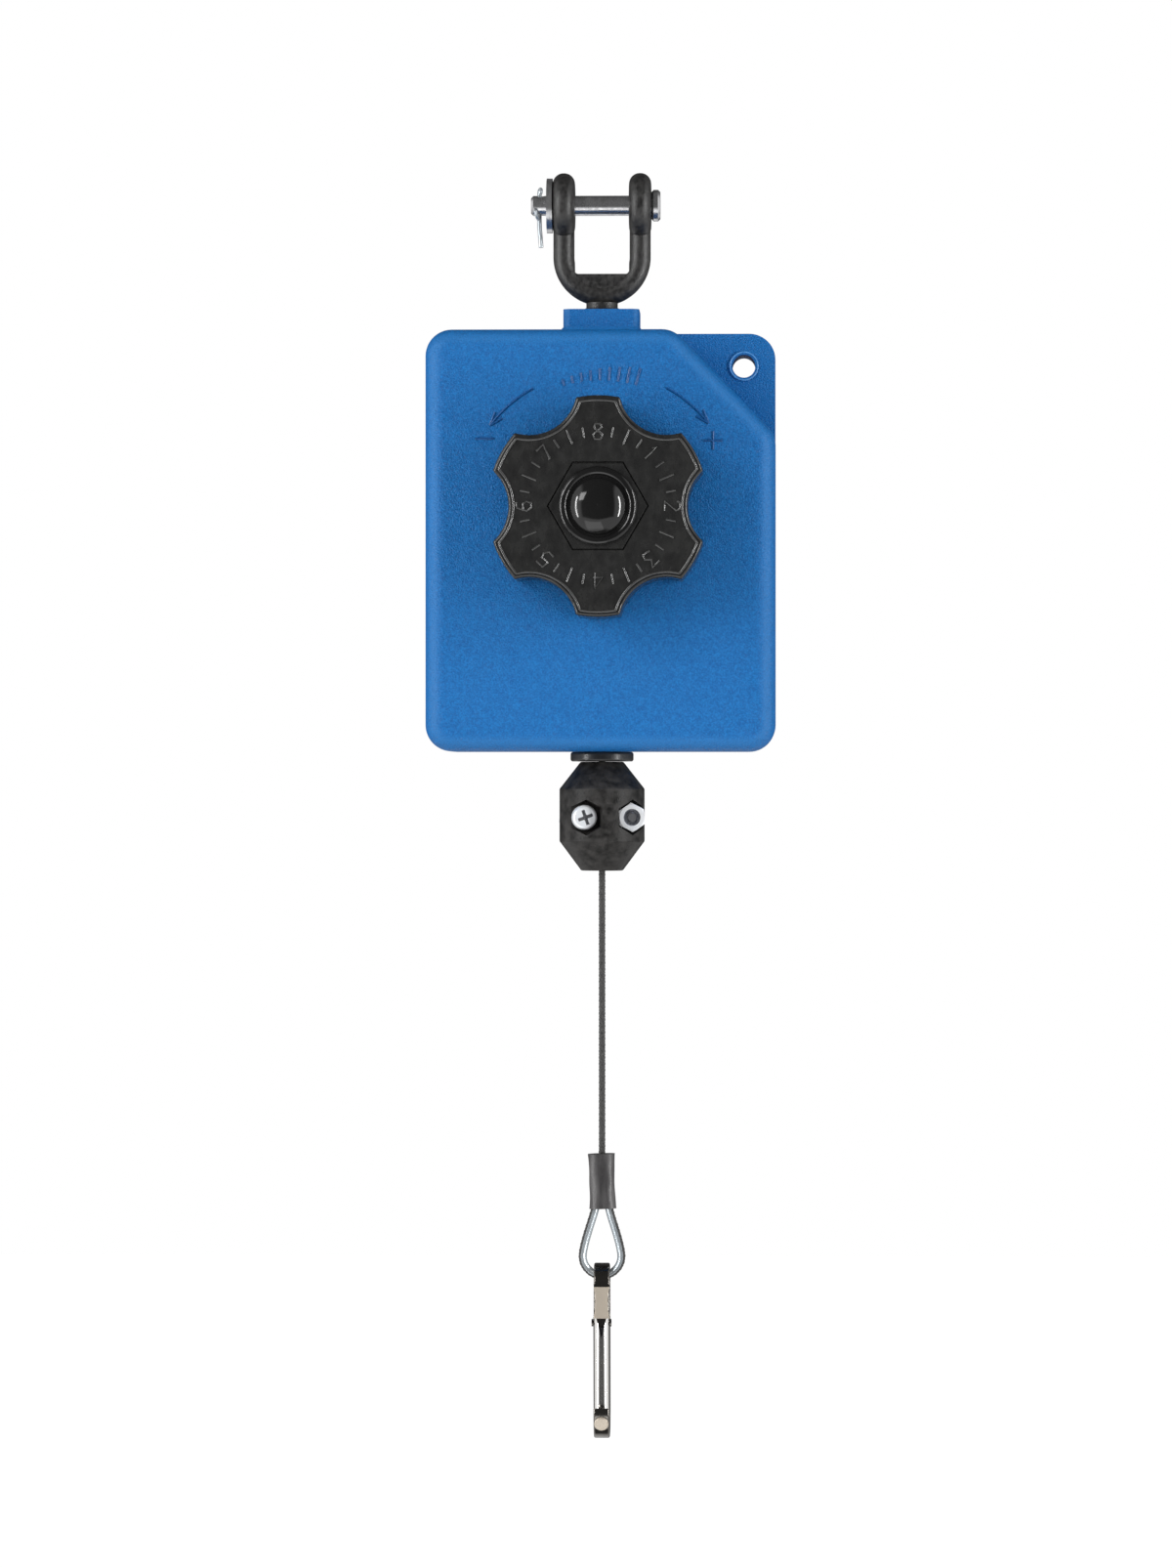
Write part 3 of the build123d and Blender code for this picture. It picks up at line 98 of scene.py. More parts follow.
class Body(Enum):
    """The moving bodies of the retractor."""

    CLEVIS = "clevis"
    PIN = "pin"
    HOUSING = "housing"
    ARBOR = "arbor"
    KNOB = "knob"
    REEL = "reel"
    LINE = "line"
    STOP = "stop"
    HOOK = "hook"
    GATE = "gate"


class Axis(Enum):
    """The axes of the shared frame, by their place in a point."""

    X = 0
    Y = 1
    Z = 2


class Side(Enum):
    """Which way a screw or nut faces across the stop."""

    FRONT = -1
    REAR = 1


# Node helpers


def link(tree: Tree, source: Socket, target: Socket) -> None:
    """Joins two sockets."""
    tree.links.new(source, target)


def feed(tree: Tree, value: Socket | float, target: Socket) -> None:
    """Gives a socket its value.

    Args:
        tree: the node tree.
        value: a plain value, or the socket that gives it.
        target: the socket that takes it.
    """
    if isinstance(value, Socket):
        link(tree, value, target)
    else:
        target.default_value = value


def math_node(tree: Tree, operation: str, first: Socket | float, second: Socket | float = 0.0) -> Socket:
    """Adds a Math node.

    Args:
        tree: the node tree to add it to.
        operation: the node's operation.
        first: the first value or the socket that gives it.
        second: the second value or the socket that gives it.

    Returns:
        The node's output socket.
    """
    node = tree.nodes.new("ShaderNodeMath")
    node.operation = operation
    for socket, value in zip(node.inputs, (first, second)):
        feed(tree, value, socket)
    return node.outputs[0]


def noise_node(tree: Tree, vector: Socket, scale: Socket | float, detail: float) -> Socket:
    """Adds a Noise Texture.

    Args:
        tree: the node tree to add it to.
        vector: where its coordinates come from.
        scale: how many features stand in a metre, or the socket that gives it.
        detail: how many finer layers it has.

    Returns:
        The value socket, about 0.5 on average.
    """
    node = tree.nodes.new("ShaderNodeTexNoise")
    node.inputs["Detail"].default_value = detail
    link(tree, vector, node.inputs["Vector"])
    feed(tree, scale, node.inputs["Scale"])
    return node.outputs[0]


def spread(tree: Tree, value: Socket, low: float, high: float, out_low: float, out_high: float) -> Socket:
    """Maps a value from one range onto another, clamped at both ends.

    Args:
        tree: the node tree to add the node to.
        value: the socket that gives the value.
        low: the start of the first range.
        high: the end of the first range.
        out_low: the start of the second range.
        out_high: the end of the second range.

    Returns:
        The mapped value's socket.
    """
    node = tree.nodes.new("ShaderNodeMapRange")
    link(tree, value, node.inputs["Value"])
    for name, number in zip(("From Min", "From Max", "To Min", "To Max"), (low, high, out_low, out_high)):
        node.inputs[name].default_value = number
    return node.outputs[0]


def split_axes(tree: Tree, vector: Socket) -> dict[Axis, Socket]:
    """Splits a vector into its three values.

    Args:
        tree: the node tree to add the node to.
        vector: the vector's socket.

    Returns:
        The socket of each axis.
    """
    node = tree.nodes.new("ShaderNodeSeparateXYZ")
    link(tree, vector, node.inputs[0])
    return {axis: node.outputs[axis.name] for axis in Axis}


def tint(tree: Tree, factor: Socket, low: Socket | Colour, high: Socket | Colour) -> Socket:
    """Mixes two colours by a factor.

    Args:
        tree: the node tree to add the node to.
        factor: the socket of the factor.
        low: the colour at 0, or the socket that gives it.
        high: the colour at 1, or the socket that gives it.

    Returns:
        The mixed colour's socket.
    """
    node = tree.nodes.new("ShaderNodeMix")
    node.data_type = "RGBA"
    link(tree, factor, node.inputs["Factor"])
    for name, value in (("A", low), ("B", high)):
        feed(tree, value if isinstance(value, Socket) else (*value, 1.0), node.inputs[name])
    return node.outputs["Result"]


def add_bump(tree: Tree, shader: Node, height: Socket, depth: float) -> None:
    """Feeds a height through a Bump node into the shader's normal.

    Args:
        tree: the material's tree.
        shader: the material's shader.
        height: the socket of the height.
        depth: how deep a height of one is.
    """
    bump = tree.nodes.new("ShaderNodeBump")
    bump.inputs["Distance"].default_value = depth
    bump.inputs["Strength"].default_value = 1.0
    link(tree, height, bump.inputs["Height"])
    link(tree, bump.outputs[0], shader.inputs["Normal"])


def start_material(name: str) -> tuple[bpy.types.Material, Tree, Node]:
    """Makes a material with its Principled BSDF.

    Args:
        name: the material's name.

    Returns:
        The material, its tree and its shader.
    """
    material = bpy.data.materials.new(name)
    material.use_nodes = True
    tree = material.node_tree
    return material, tree, tree.nodes["Principled BSDF"]


def object_coordinates(tree: Tree) -> Socket:
    """The piece's own Object coordinates."""
    return tree.nodes.new("ShaderNodeTexCoord").outputs["Object"]


# Shared surface effects


def group_tree(name: str, values: dict[str, float], output: str) -> tuple[Tree, Node, Socket]:
    """Makes a shader node group with a vector, some values and one output.

    Args:
        name: the group's name.
        values: each value input's name and starting value.
        output: the output's name.

    Returns:
        The group, its input node and the socket of its output.
    """
    tree = bpy.data.node_groups.new(name, "ShaderNodeTree")
    tree.interface.new_socket("Vector", in_out="INPUT", socket_type="NodeSocketVector")
    for label, value in values.items():
        socket = tree.interface.new_socket(label, in_out="INPUT", socket_type="NodeSocketFloat")
        socket.default_value = value
    tree.interface.new_socket(output, in_out="OUTPUT", socket_type="NodeSocketFloat")
    given = tree.nodes.new("NodeGroupInput")
    return tree, given, tree.nodes.new("NodeGroupOutput").inputs[output]


def grain_group() -> Tree:
    """Builds the fine grain of a moulded or cast surface: a height made of two sizes of noise.

    Returns:
        The node group.
    """
    coarser, fine_detail, slow_detail = 0.31, 2.0, 1.0
    tree, given, result = group_tree("surface_grain", {"Scale": 1500.0, "Coarse": 0.4}, "Height")
    fine = noise_node(tree, given.outputs["Vector"], given.outputs["Scale"], fine_detail)
    slow_scale = math_node(tree, "MULTIPLY", given.outputs["Scale"], coarser)
    slow = noise_node(tree, given.outputs["Vector"], slow_scale, slow_detail)
    raised = math_node(tree, "MULTIPLY", slow, given.outputs["Coarse"])
    link(tree, math_node(tree, "ADD", fine, raised), result)
    return tree


def mottle_group() -> Tree:
    """Builds slow cloudy change over a surface, drawn out along Z like flow marks in a moulding.

    Returns:
        The node group.
    """
    detail, low, high = 4.0, 0.32, 0.68
    tree, given, result = group_tree("surface_mottle", {"Scale": 60.0, "Stretch": 1.0}, "Value")
    drawn_out = tree.nodes.new("ShaderNodeCombineXYZ")
    parts = split_axes(tree, given.outputs["Vector"])
    parts[Axis.Z] = math_node(tree, "DIVIDE", parts[Axis.Z], given.outputs["Stretch"])
    for axis, part in parts.items():
        link(tree, part, drawn_out.inputs[axis.name])
    cloud = noise_node(tree, drawn_out.outputs[0], given.outputs["Scale"], detail)
    link(tree, spread(tree, cloud, low, high, 0.0, 1.0), result)
    return tree


def wear_group() -> Tree:
    """Builds scattered fine scratches and rubbed spots, as a mask.

    Returns:
        The node group.
    """
    patch_size, fine_detail, patch_detail = 0.12, 6.0, 2.0
    spot_levels, zone_levels = (0.58, 0.7), (0.42, 0.65)
    tree, given, result = group_tree("surface_wear", {"Scale": 300.0}, "Mask")
    cloud = noise_node(tree, given.outputs["Vector"], given.outputs["Scale"], fine_detail)
    patch_scale = math_node(tree, "MULTIPLY", given.outputs["Scale"], patch_size)
    patch = noise_node(tree, given.outputs["Vector"], patch_scale, patch_detail)
    spots = spread(tree, cloud, *spot_levels, 0.0, 1.0)
    zones = spread(tree, patch, *zone_levels, 0.0, 1.0)
    link(tree, math_node(tree, "MULTIPLY", spots, zones), result)
    return tree


@dataclass
class Effects:
    """The shared node groups, built once."""

    grain: Tree = field(default_factory=grain_group)
    mottle: Tree = field(default_factory=mottle_group)
    wear: Tree = field(default_factory=wear_group)

    def place(self, tree: Tree, group: Tree, vector: Socket, **values: float) -> Socket:
        """Puts a group into a material.

        Args:
            tree: the material's tree.
            group: the group to place.
            vector: its coordinates.
            **values: starting values of its other inputs.

        Returns:
            The group's output.
        """
        node = tree.nodes.new("ShaderNodeGroup")
        node.node_tree = group
        link(tree, vector, node.inputs["Vector"])
        for name, value in values.items():
            node.inputs[name.capitalize()].default_value = value
        return node.outputs[0]


# Finishes


@dataclass(frozen=True)
class GrainedFinish:
    """What plastics and metals share: two colours in slow clouds, an uneven polish and a fine grain."""

    name: str
    colour: Colour
    clouded: Colour
    roughness: float
    roughness_swing: float = 0.08
    grain_scale: float = 1500.0
    grain_depth: float = 0.00004
    mottle_scale: float = 60.0
    mottle_stretch: float = 1.0

    def clouds(self, effects: Effects, tree: Tree, place: Socket) -> Socket:
        """The slow clouds, as a value from 0 to 1."""
        values = {"scale": self.mottle_scale, "stretch": self.mottle_stretch}
        return effects.place(tree, effects.mottle, place, **values)

    def polish(self, effects: Effects, tree: Tree, shader: Node, place: Socket, cloud: Socket) -> None:
        """Gives the shader a roughness that follows the clouds, and the grain.

        Args:
            effects: the shared effects.
            tree: the material's tree.
            shader: the material's shader.
            place: the piece's coordinates.
            cloud: the slow clouds.
        """
        low, high = self.roughness - self.roughness_swing, self.roughness + self.roughness_swing
        link(tree, spread(tree, cloud, 0.0, 1.0, low, high), shader.inputs["Roughness"])
        grain = effects.place(tree, effects.grain, place, scale=self.grain_scale)
        add_bump(tree, shader, grain, self.grain_depth)


@dataclass(frozen=True)
class MouldedPlastic(GrainedFinish):
    """Moulded plastic with a fine grain, cloudy flow marks and rubbed spots, and on some a painted
    highlight on the rounded edges.
    """

    wear_scale: float = 400.0
    wear_share: float = 0.25
    specular: float = 0.5
    # Painted highlight: this colour is mixed in on the front of the rounded edges, by the share and the two
    # ranges of facing below
    edge: Colour = (0.0, 0.0, 0.0)
    highlight_share: float = 0.0
    highlight_starts: tuple[float, float] = (0.995, 0.9)
    highlight_ends: tuple[float, float] = (0.45, 0.8)

    def build(self, effects: Effects) -> bpy.types.Material:
        """Makes the material.

        Args:
            effects: the shared effects.

        Returns:
            The material.
        """
        material, tree, shader = start_material(self.name)
        place = object_coordinates(tree)
        cloud = self.clouds(effects, tree, place)
        rubbed = effects.place(tree, effects.wear, place, scale=self.wear_scale)
        pale = math_node(tree, "MAXIMUM", cloud, math_node(tree, "MULTIPLY", rubbed, self.wear_share))
        base = tint(tree, pale, self.colour, self.clouded)
        # painted highlight on the rounded edges
        if self.highlight_share:
            base = self.paint_edge_highlight(tree, base)
        link(tree, base, shader.inputs["Base Color"])
        shader.inputs["Specular IOR Level"].default_value = self.specular
        self.polish(effects, tree, shader, place, cloud)
        return material

    def paint_edge_highlight(self, tree: Tree, base: Socket) -> Socket:
        """Paints a highlight on the front of the rounded edges: a lighter colour where the surface begins
        to turn away from the front.

        Args:
            tree: the material's tree.
            base: the colour elsewhere.

        Returns:
            The colour's socket.
        """
        normal = split_axes(tree, tree.nodes.new("ShaderNodeTexCoord").outputs["Normal"])
        facing = math_node(tree, "ABSOLUTE", normal[Axis.Y])
        start = spread(tree, facing, *self.highlight_starts, 0.0, self.highlight_share)
        end = spread(tree, facing, *self.highlight_ends, 0.0, 1.0)
        return tint(tree, math_node(tree, "MULTIPLY", start, end), base, self.edge)


@dataclass(frozen=True)
class PlatedMetal(GrainedFinish):
    """Plated or bare metal with fine rolling marks and cloudy tarnish."""

    grain_scale: float = 2500.0
    grain_depth: float = 0.00001
    mottle_scale: float = 120.0
    mottle_stretch: float = 3.0
    metallic: float = 1.0

    def build(self, effects: Effects) -> bpy.types.Material:
        """Makes the material.

        Args:
            effects: the shared effects.

        Returns:
            The material.
        """
        material, tree, shader = start_material(self.name)
        place = object_coordinates(tree)
        cloud = self.clouds(effects, tree, place)
        link(tree, tint(tree, cloud, self.colour, self.clouded), shader.inputs["Base Color"])
        shader.inputs["Metallic"].default_value = self.metallic
        self.polish(effects, tree, shader, place, cloud)
        return material


@dataclass(frozen=True)
class CordFinish:
    """What the cord's finishes share: dyed polyester with fine fibres and a soft sheen."""

    name: str
    colour: Colour
    pale: Colour
    fibre_scale: float = 3000.0
    roughness: float = 0.62
    sheen: float = 0.25

    def soften(self, tree: Tree, shader: Node, shade: Socket) -> None:
        """Gives the shader its two colours, by a shade from 0 to 1, and its sheen; on a strand the shade is
        the fibres' own tone, on the braided tube it is painted light and shade.

        Args:
            tree: the material's tree.
            shader: the material's shader.
            shade: the socket of the shade, fibre tone on a strand and painted light and shade on the
                braided tube.
        """
        link(tree, tint(tree, shade, self.colour, self.pale), shader.inputs["Base Color"])
        shader.inputs["Roughness"].default_value = self.roughness
        shader.inputs["Sheen Weight"].default_value = self.sheen


@dataclass(frozen=True)
class StrandFinish(CordFinish):
    """One strand of the braid, with streaks along its fibres."""

    fibre_stretch: float = 3.0
    fibre_depth: float = 0.00003

    def build(self, effects: Effects) -> bpy.types.Material:
        """Makes the material.

        Args:
            effects: the shared effects.

        Returns:
            The material.
        """
        material, tree, shader = start_material(self.name)
        place = object_coordinates(tree)
        values = {"scale": self.fibre_scale, "stretch": self.fibre_stretch}
        fibre = effects.place(tree, effects.mottle, place, **values)
        self.soften(tree, shader, fibre)
        add_bump(tree, shader, fibre, self.fibre_depth)
        return material


@dataclass(frozen=True)
class BraidedTubeFinish(CordFinish):
    """Braid on a straight tube along Z, drawn by two sets of crossing spirals, with painted light on its
    crests and painted shade in its valleys.
    """

    strands: int = 6
    pitch: float = 0.012
    braid_depth: float = 0.00012
    # the braid height at and below which the painted shade in the valleys is deepest
    valley_shade: float = -0.2

    def build(self, effects: Effects) -> bpy.types.Material:
        """Makes the material.

        Args:
            effects: the shared effects.

        Returns:
            The material.
        """
        material, tree, shader = start_material(self.name)
        place = object_coordinates(tree)
        parts = split_axes(tree, place)
        angle = math_node(tree, "ARCTAN2", parts[Axis.Y], parts[Axis.X])
        around = math_node(tree, "MULTIPLY", angle, float(self.strands))
        along = math_node(tree, "MULTIPLY", parts[Axis.Z], TWO_PI * self.strands / self.pitch)
        right = math_node(tree, "COSINE", math_node(tree, "ADD", around, along))
        left = math_node(tree, "COSINE", math_node(tree, "SUBTRACT", around, along))
        height = math_node(tree, "MAXIMUM", right, left)
        fibre = effects.place(tree, effects.mottle, place, scale=self.fibre_scale)
        # painted light and shade: the colour is paler on the braid's crests and darker in its valleys
        lit = spread(tree, height, self.valley_shade, 1.0, 0.0, 1.0)
        self.soften(tree, shader, math_node(tree, "MULTIPLY", lit, fibre))
        add_bump(tree, shader, height, self.braid_depth)
        return material


class Finish(Enum):
    """All the finishes on the retractor."""

    CASE = MouldedPlastic(
        "case_blue", (0.001, 0.088, 0.3), (0.006, 0.172, 0.5), 0.4, 0.06,
        grain_scale=2000.0, grain_depth=0.0004, mottle_scale=2100.0, wear_share=0.1, specular=0.26,
        # painted highlight: a lighter blue on the front of the case's rounded edges
        edge=(0.035, 0.2, 0.5), highlight_share=0.45,
    )
    # Darker blue for the raised signs: painted shade, standing in for the shadowed outlines of the raised
    # strokes
    SIGN = MouldedPlastic(
        "sign_blue", (0.001, 0.055, 0.2), (0.003, 0.09, 0.3), 0.3, 0.05,
        grain_scale=1500.0, grain_depth=0.0001, mottle_scale=1500.0, wear_share=0.1,
    )
    # Lighter blue for the ring round the lug's hole: a painted highlight on the hole's rounded rim
    RUBBED = MouldedPlastic(
        "rubbed_blue", (0.06, 0.25, 0.58), (0.1, 0.32, 0.68), 0.3, 0.05,
        grain_scale=1500.0, grain_depth=0.0001, mottle_scale=900.0, wear_share=0.1,
    )
    NYLON = MouldedPlastic(
        "clevis_nylon", (0.009, 0.0088, 0.0087), (0.032, 0.0308, 0.03), 0.4, 0.12,
        grain_scale=3000.0, grain_depth=0.00009, mottle_scale=900.0, mottle_stretch=1.4, wear_share=0.9,
    )
    STOP = MouldedPlastic(
        "stop_nylon", (0.01, 0.0098, 0.0095), (0.045, 0.043, 0.0415), 0.4, 0.12,
        grain_scale=2600.0, grain_depth=0.00007, mottle_scale=330.0, mottle_stretch=0.8, wear_scale=900.0,
        wear_share=1.0, specular=0.14,
    )
    KNOB = MouldedPlastic(
        "knob_black", (0.013, 0.013, 0.013), (0.02, 0.02, 0.0195), 0.25, 0.06,
        grain_scale=900.0, grain_depth=0.00003, mottle_scale=420.0, mottle_stretch=1.5, wear_share=0.6,
    )
    # A lighter black for the knob's rim bead and marks: a painted highlight along them, on the knob's own
    # black plastic
    KNOB_EDGE = MouldedPlastic(
        "knob_edge", (0.03, 0.03, 0.03), (0.05, 0.05, 0.049), 0.16, 0.04,
        grain_scale=900.0, grain_depth=0.00001, mottle_scale=300.0, wear_share=0.6, specular=1.0,
    )
    CAP = MouldedPlastic(
        "cap_black", (0.006, 0.006, 0.006), (0.009, 0.009, 0.009), 0.1, 0.03,
        grain_scale=400.0, grain_depth=0.000004, mottle_scale=60.0, wear_share=0.4,
    )
    GUIDE = MouldedPlastic(
        "guide_black", (0.012, 0.012, 0.012), (0.026, 0.026, 0.025), 0.34, 0.08,
        grain_scale=1400.0, grain_depth=0.00003, mottle_scale=120.0, wear_share=0.6,
    )
    INNER = MouldedPlastic(
        "inner_nylon", (0.2, 0.205, 0.21), (0.27, 0.275, 0.28), 0.5, 0.06, mottle_scale=50.0,
    )
    SHRINK = MouldedPlastic(
        "shrink_tube", (0.036, 0.034, 0.035), (0.1, 0.096, 0.097), 0.4, 0.08,
        grain_scale=900.0, grain_depth=0.00008, mottle_scale=420.0, mottle_stretch=7.0, wear_share=0.6,
    )
    ZINC = PlatedMetal(
        "zinc_steel", (0.62, 0.63, 0.66), (0.5, 0.51, 0.54), 0.24, 0.06, grain_depth=0.000006,
    )
    PIN_STEEL = PlatedMetal(
        "pin_steel", (0.6, 0.6, 0.61), (0.4, 0.4, 0.41), 0.24, 0.06,
        grain_depth=0.000008, mottle_scale=700.0, metallic=0.9,
    )
    BRIGHT = PlatedMetal(
        "bright_nickel", (0.84, 0.83, 0.81), (0.74, 0.72, 0.69), 0.12, 0.03, grain_depth=0.000002,
    )
    DARK_STEEL = PlatedMetal("dark_steel", (0.16, 0.16, 0.17), (0.08, 0.08, 0.085), 0.34, 0.08)
    # A dark nickel for the hook's body and gate rivet: a painted dark reflection, the plated metal coloured
    # darker than the gate where it mirrors the dark room in front
    DARK_NICKEL = PlatedMetal("dark_nickel", (0.2, 0.19, 0.175), (0.13, 0.12, 0.11), 0.18, 0.05)
    PLATE = PlatedMetal("brushed_nickel", (0.5, 0.44, 0.36), (0.4, 0.35, 0.29), 0.36, 0.06, metallic=0.25)
    THIMBLE = PlatedMetal("thimble_zinc", (0.72, 0.77, 0.8), (0.36, 0.4, 0.43), 0.24, 0.08, metallic=0.6)
    SATIN_ZINC = PlatedMetal("satin_zinc", (0.97, 0.98, 1.0), (0.74, 0.77, 0.8), 0.22, 0.06, metallic=0.25)
    BRONZE = PlatedMetal("sintered_bronze", (0.5, 0.3, 0.12), (0.34, 0.2, 0.08), 0.45, 0.08)
    ALUMINIUM = PlatedMetal("crimp_aluminium", (0.75, 0.75, 0.76), (0.6, 0.6, 0.62), 0.38, 0.08)
    STRAND = StrandFinish("cord_strand", (0.01, 0.01, 0.01), (0.06, 0.058, 0.056))
    BRAID = BraidedTubeFinish("cord_braid", (0.008, 0.008, 0.008), (0.032, 0.031, 0.03))


class Paints:
    """Builds each finish once and gives it to pieces."""

    def __init__(self) -> None:
        """Builds the shared effects and all the materials."""
        effects = Effects()
        self.materials = {finish: finish.value.build(effects) for finish in Finish}

    def coat(self, piece: Piece, finish: Finish) -> None:
        """Gives a piece one finish all over."""
        piece.data.materials.clear()
        piece.data.materials.append(self.materials[finish])

    def coat_nodes(self, nodes: CadNodes, finish: Finish, names: Iterable[str]) -> None:
        """Gives named CAD nodes one finish."""
        for name in names:
            self.coat(nodes[name], finish)


# Modelling helpers


def deselect_all() -> None:
    """Leaves object mode with nothing selected."""
    if bpy.context.object and bpy.context.object.mode != "OBJECT":
        bpy.ops.object.mode_set(mode="OBJECT")
    bpy.ops.object.select_all(action="DESELECT")


def make_active(piece: Piece) -> None:
    """Selects one piece and makes it active.

    Args:
        piece: the piece.
    """
    deselect_all()
    piece.select_set(True)
    bpy.context.view_layer.objects.active = piece


def add_object(name: str, data: bpy.types.ID) -> bpy.types.Object:
    """Puts a mesh, curve, lamp or camera into the scene.

    Args:
        name: the object's name.
        data: what it holds.

    Returns:
        The new object, at the origin.
    """
    obj = bpy.data.objects.new(name, data)
    bpy.context.collection.objects.link(obj)
    return obj


def edit_all(piece: Piece, operator: Callable[..., set[str]], **settings: float | bool) -> Piece:
    """Runs an edit mode operator on all of a piece's mesh.

    Args:
        piece: the piece.
        operator: the operator.
        **settings: its settings.

    Returns:
        The piece.
    """
    make_active(piece)
    bpy.ops.object.mode_set(mode="EDIT")
    bpy.ops.mesh.select_all(action="SELECT")
    operator(**settings)
    bpy.ops.object.mode_set(mode="OBJECT")
    return piece


def recalculate(piece: Piece) -> Piece:
    """Turns all of a piece's faces outwards."""
    return edit_all(piece, bpy.ops.mesh.normals_make_consistent, inside=False)


def settle(piece: Piece) -> Piece:
    """Puts a piece's place, turn and size into its mesh.

    Args:
        piece: the piece.

    Returns:
        The piece.
    """
    make_active(piece)
    bpy.ops.object.transform_apply(location=True, rotation=True, scale=True)
    return piece


def place_mesh(piece: Piece, matrix: Matrix) -> Piece:
    """Moves a piece's mesh and leaves the piece itself at the origin.

    Args:
        piece: the piece.
        matrix: where its mesh goes.

    Returns:
        The piece.
    """
    settle(piece)
    piece.data.transform(matrix)
    if matrix.determinant() < 0:
        piece.data.flip_normals()
    return piece


def apply_modifier(piece: Piece, kind: str, **settings: object) -> None:
    """Adds a modifier to a piece and applies it.

    Args:
        piece: the piece.
        kind: the modifier's type.
        **settings: its settings.
    """
    make_active(piece)
    modifier = piece.modifiers.new(kind.lower(), kind)
    for name, value in settings.items():
        setattr(modifier, name, value)
    bpy.ops.object.modifier_apply(modifier=modifier.name)


def smooth(piece: Piece, degrees: float = 35.0) -> Piece:
    """Shades a piece smooth, with its sharper edges kept crisp.

    Args:
        piece: the piece.
        degrees: the angle from which an edge is kept crisp.

    Returns:
        The piece.
    """
    make_active(piece)
    bpy.ops.object.shade_smooth_by_angle(angle=math.radians(degrees))
    return piece


def cylinder(name: str, radius: float, low: float, high: float, sides: int) -> Piece:
    """Adds a cylinder on the Z axis.

    Args:
        name: the object's name.
        radius: its radius.
        low: its lower end.
        high: its upper end.
        sides: how many sides it has.

    Returns:
        The new object, settled at the origin.
    """
    deselect_all()
    place = (0.0, 0.0, (low + high) / 2)
    bpy.ops.mesh.primitive_cylinder_add(vertices=sides, radius=radius, depth=high - low, location=place)
    bpy.context.object.name = name
    return settle(bpy.context.object)


def cone(low_radius: float, high_radius: float, depth: float, middle: float, sides: int) -> Piece:
    """Adds a cone on the Z axis, as a cutter.

    Args:
        low_radius: its radius below.
        high_radius: its radius above.
        depth: its height.
        middle: the height of its middle.
        sides: how many sides it has.

    Returns:
        The new object, settled at the origin.
    """
    deselect_all()
    bpy.ops.mesh.primitive_cone_add(
        vertices=sides, radius1=low_radius, radius2=high_radius, depth=depth, location=(0, 0, middle)
    )
    return settle(bpy.context.object)


def block(low: Point, high: Point) -> Piece:
    """Adds a block between two corners, as a cutter settled at the origin.

    Args:
        low: its lowest corner.
        high: its highest corner.

    Returns:
        The new object.
    """
    deselect_all()
    bpy.ops.mesh.primitive_cube_add(size=1.0, location=[(a + b) / 2 for a, b in zip(low, high)])
    bpy.context.object.scale = [b - a for a, b in zip(low, high)]
    return settle(bpy.context.object)


def combine(piece: Piece, other: Piece, operation: str) -> None:
    """Applies a boolean with another object, which is then removed."""
    apply_modifier(piece, "BOOLEAN", operation=operation, object=other, solver="EXACT")
    bpy.data.objects.remove(other, do_unlink=True)


def join(parts: Sequence[Piece], name: str) -> Piece:
    """Joins objects into one piece.

    Args:
        parts: the objects.
        name: the piece's name.

    Returns:
        The piece.
    """
    make_active(parts[0])
    for part in parts[1:]:
        part.select_set(True)
    if len(parts) > 1:
        bpy.ops.object.join()
    joined = bpy.context.object
    joined.name = name
    return joined


def merged_copy(node: Piece, name: str) -> Piece:
    """Copies a CAD node's mesh and merges its loose triangles.

    Args:
        node: the CAD node.
        name: the copy's name.

    Returns:
        The copy, at the origin.
    """
    mesh = node.data.copy()
    mesh.transform(node.matrix_world)
    return smooth(edit_all(add_object(name, mesh), bpy.ops.mesh.remove_doubles, threshold=SAME_PLACE))


def stretched_spring(
    paints: Paints, node: Piece, name: str, axis: Axis
) -> Piece:
    """The spring between the two bodies that hold its ends, as a merged copy of the CAD node in dark steel.

    Args:
        paints: the finishes.
        node: the CAD spring.
        name: the new piece's name.
        axis: the axis along which it reaches from one body to the other.

    Returns:
        The new piece.
    """
    piece = merged_copy(node, name)
    along = [v.co[axis.value] for v in piece.data.vertices]
    middle = sum((v.co for v in piece.data.vertices), Vector()) / len(piece.data.vertices)
    for value in (min(along), max(along)):
        end = middle.copy()
        end[axis.value] = value
    paints.coat(piece, Finish.DARK_STEEL)
    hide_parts(node.name)
    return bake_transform(piece)


def bevel_rim(piece: Piece, height: float, width: float, segments: int) -> None:
    """Bevels the edges that lie at one height of a piece along Z.

    Args:
        piece: the piece.
        height: the height of the edges.
        width: how wide the bevel is.
        segments: how round it is.
    """
    level, least_turn = 1e-6, 0.3
    make_active(piece)
    bpy.ops.object.mode_set(mode="EDIT")
    bpy.ops.mesh.select_mode(type="EDGE")
    bpy.ops.mesh.select_all(action="DESELECT")
    mesh = bmesh.from_edit_mesh(piece.data)
    for edge in mesh.edges:
        on_rim = all(abs(v.co.z - height) < level for v in edge.verts)
        edge.select = on_rim and len(edge.link_faces) == 2 and edge.calc_face_angle() > least_turn
    bmesh.update_edit_mesh(piece.data)
    bpy.ops.mesh.bevel(offset=width, segments=segments, profile=0.5, affect="EDGES")
    bpy.ops.object.mode_set(mode="OBJECT")


def mesh_from(name: str, points: Sequence[Vector], faces: Sequence[Sequence[int]]) -> Piece:
    """Makes a mesh object from points and faces.

    Args:
        name: the object's name.
        points: its corners.
        faces: the corners of each face, by their place in the list.

    Returns:
        The new object.
    """
    mesh = bpy.data.meshes.new(name)
    mesh.from_pydata(points, [], faces)
    mesh.update()
    return add_object(name, mesh)


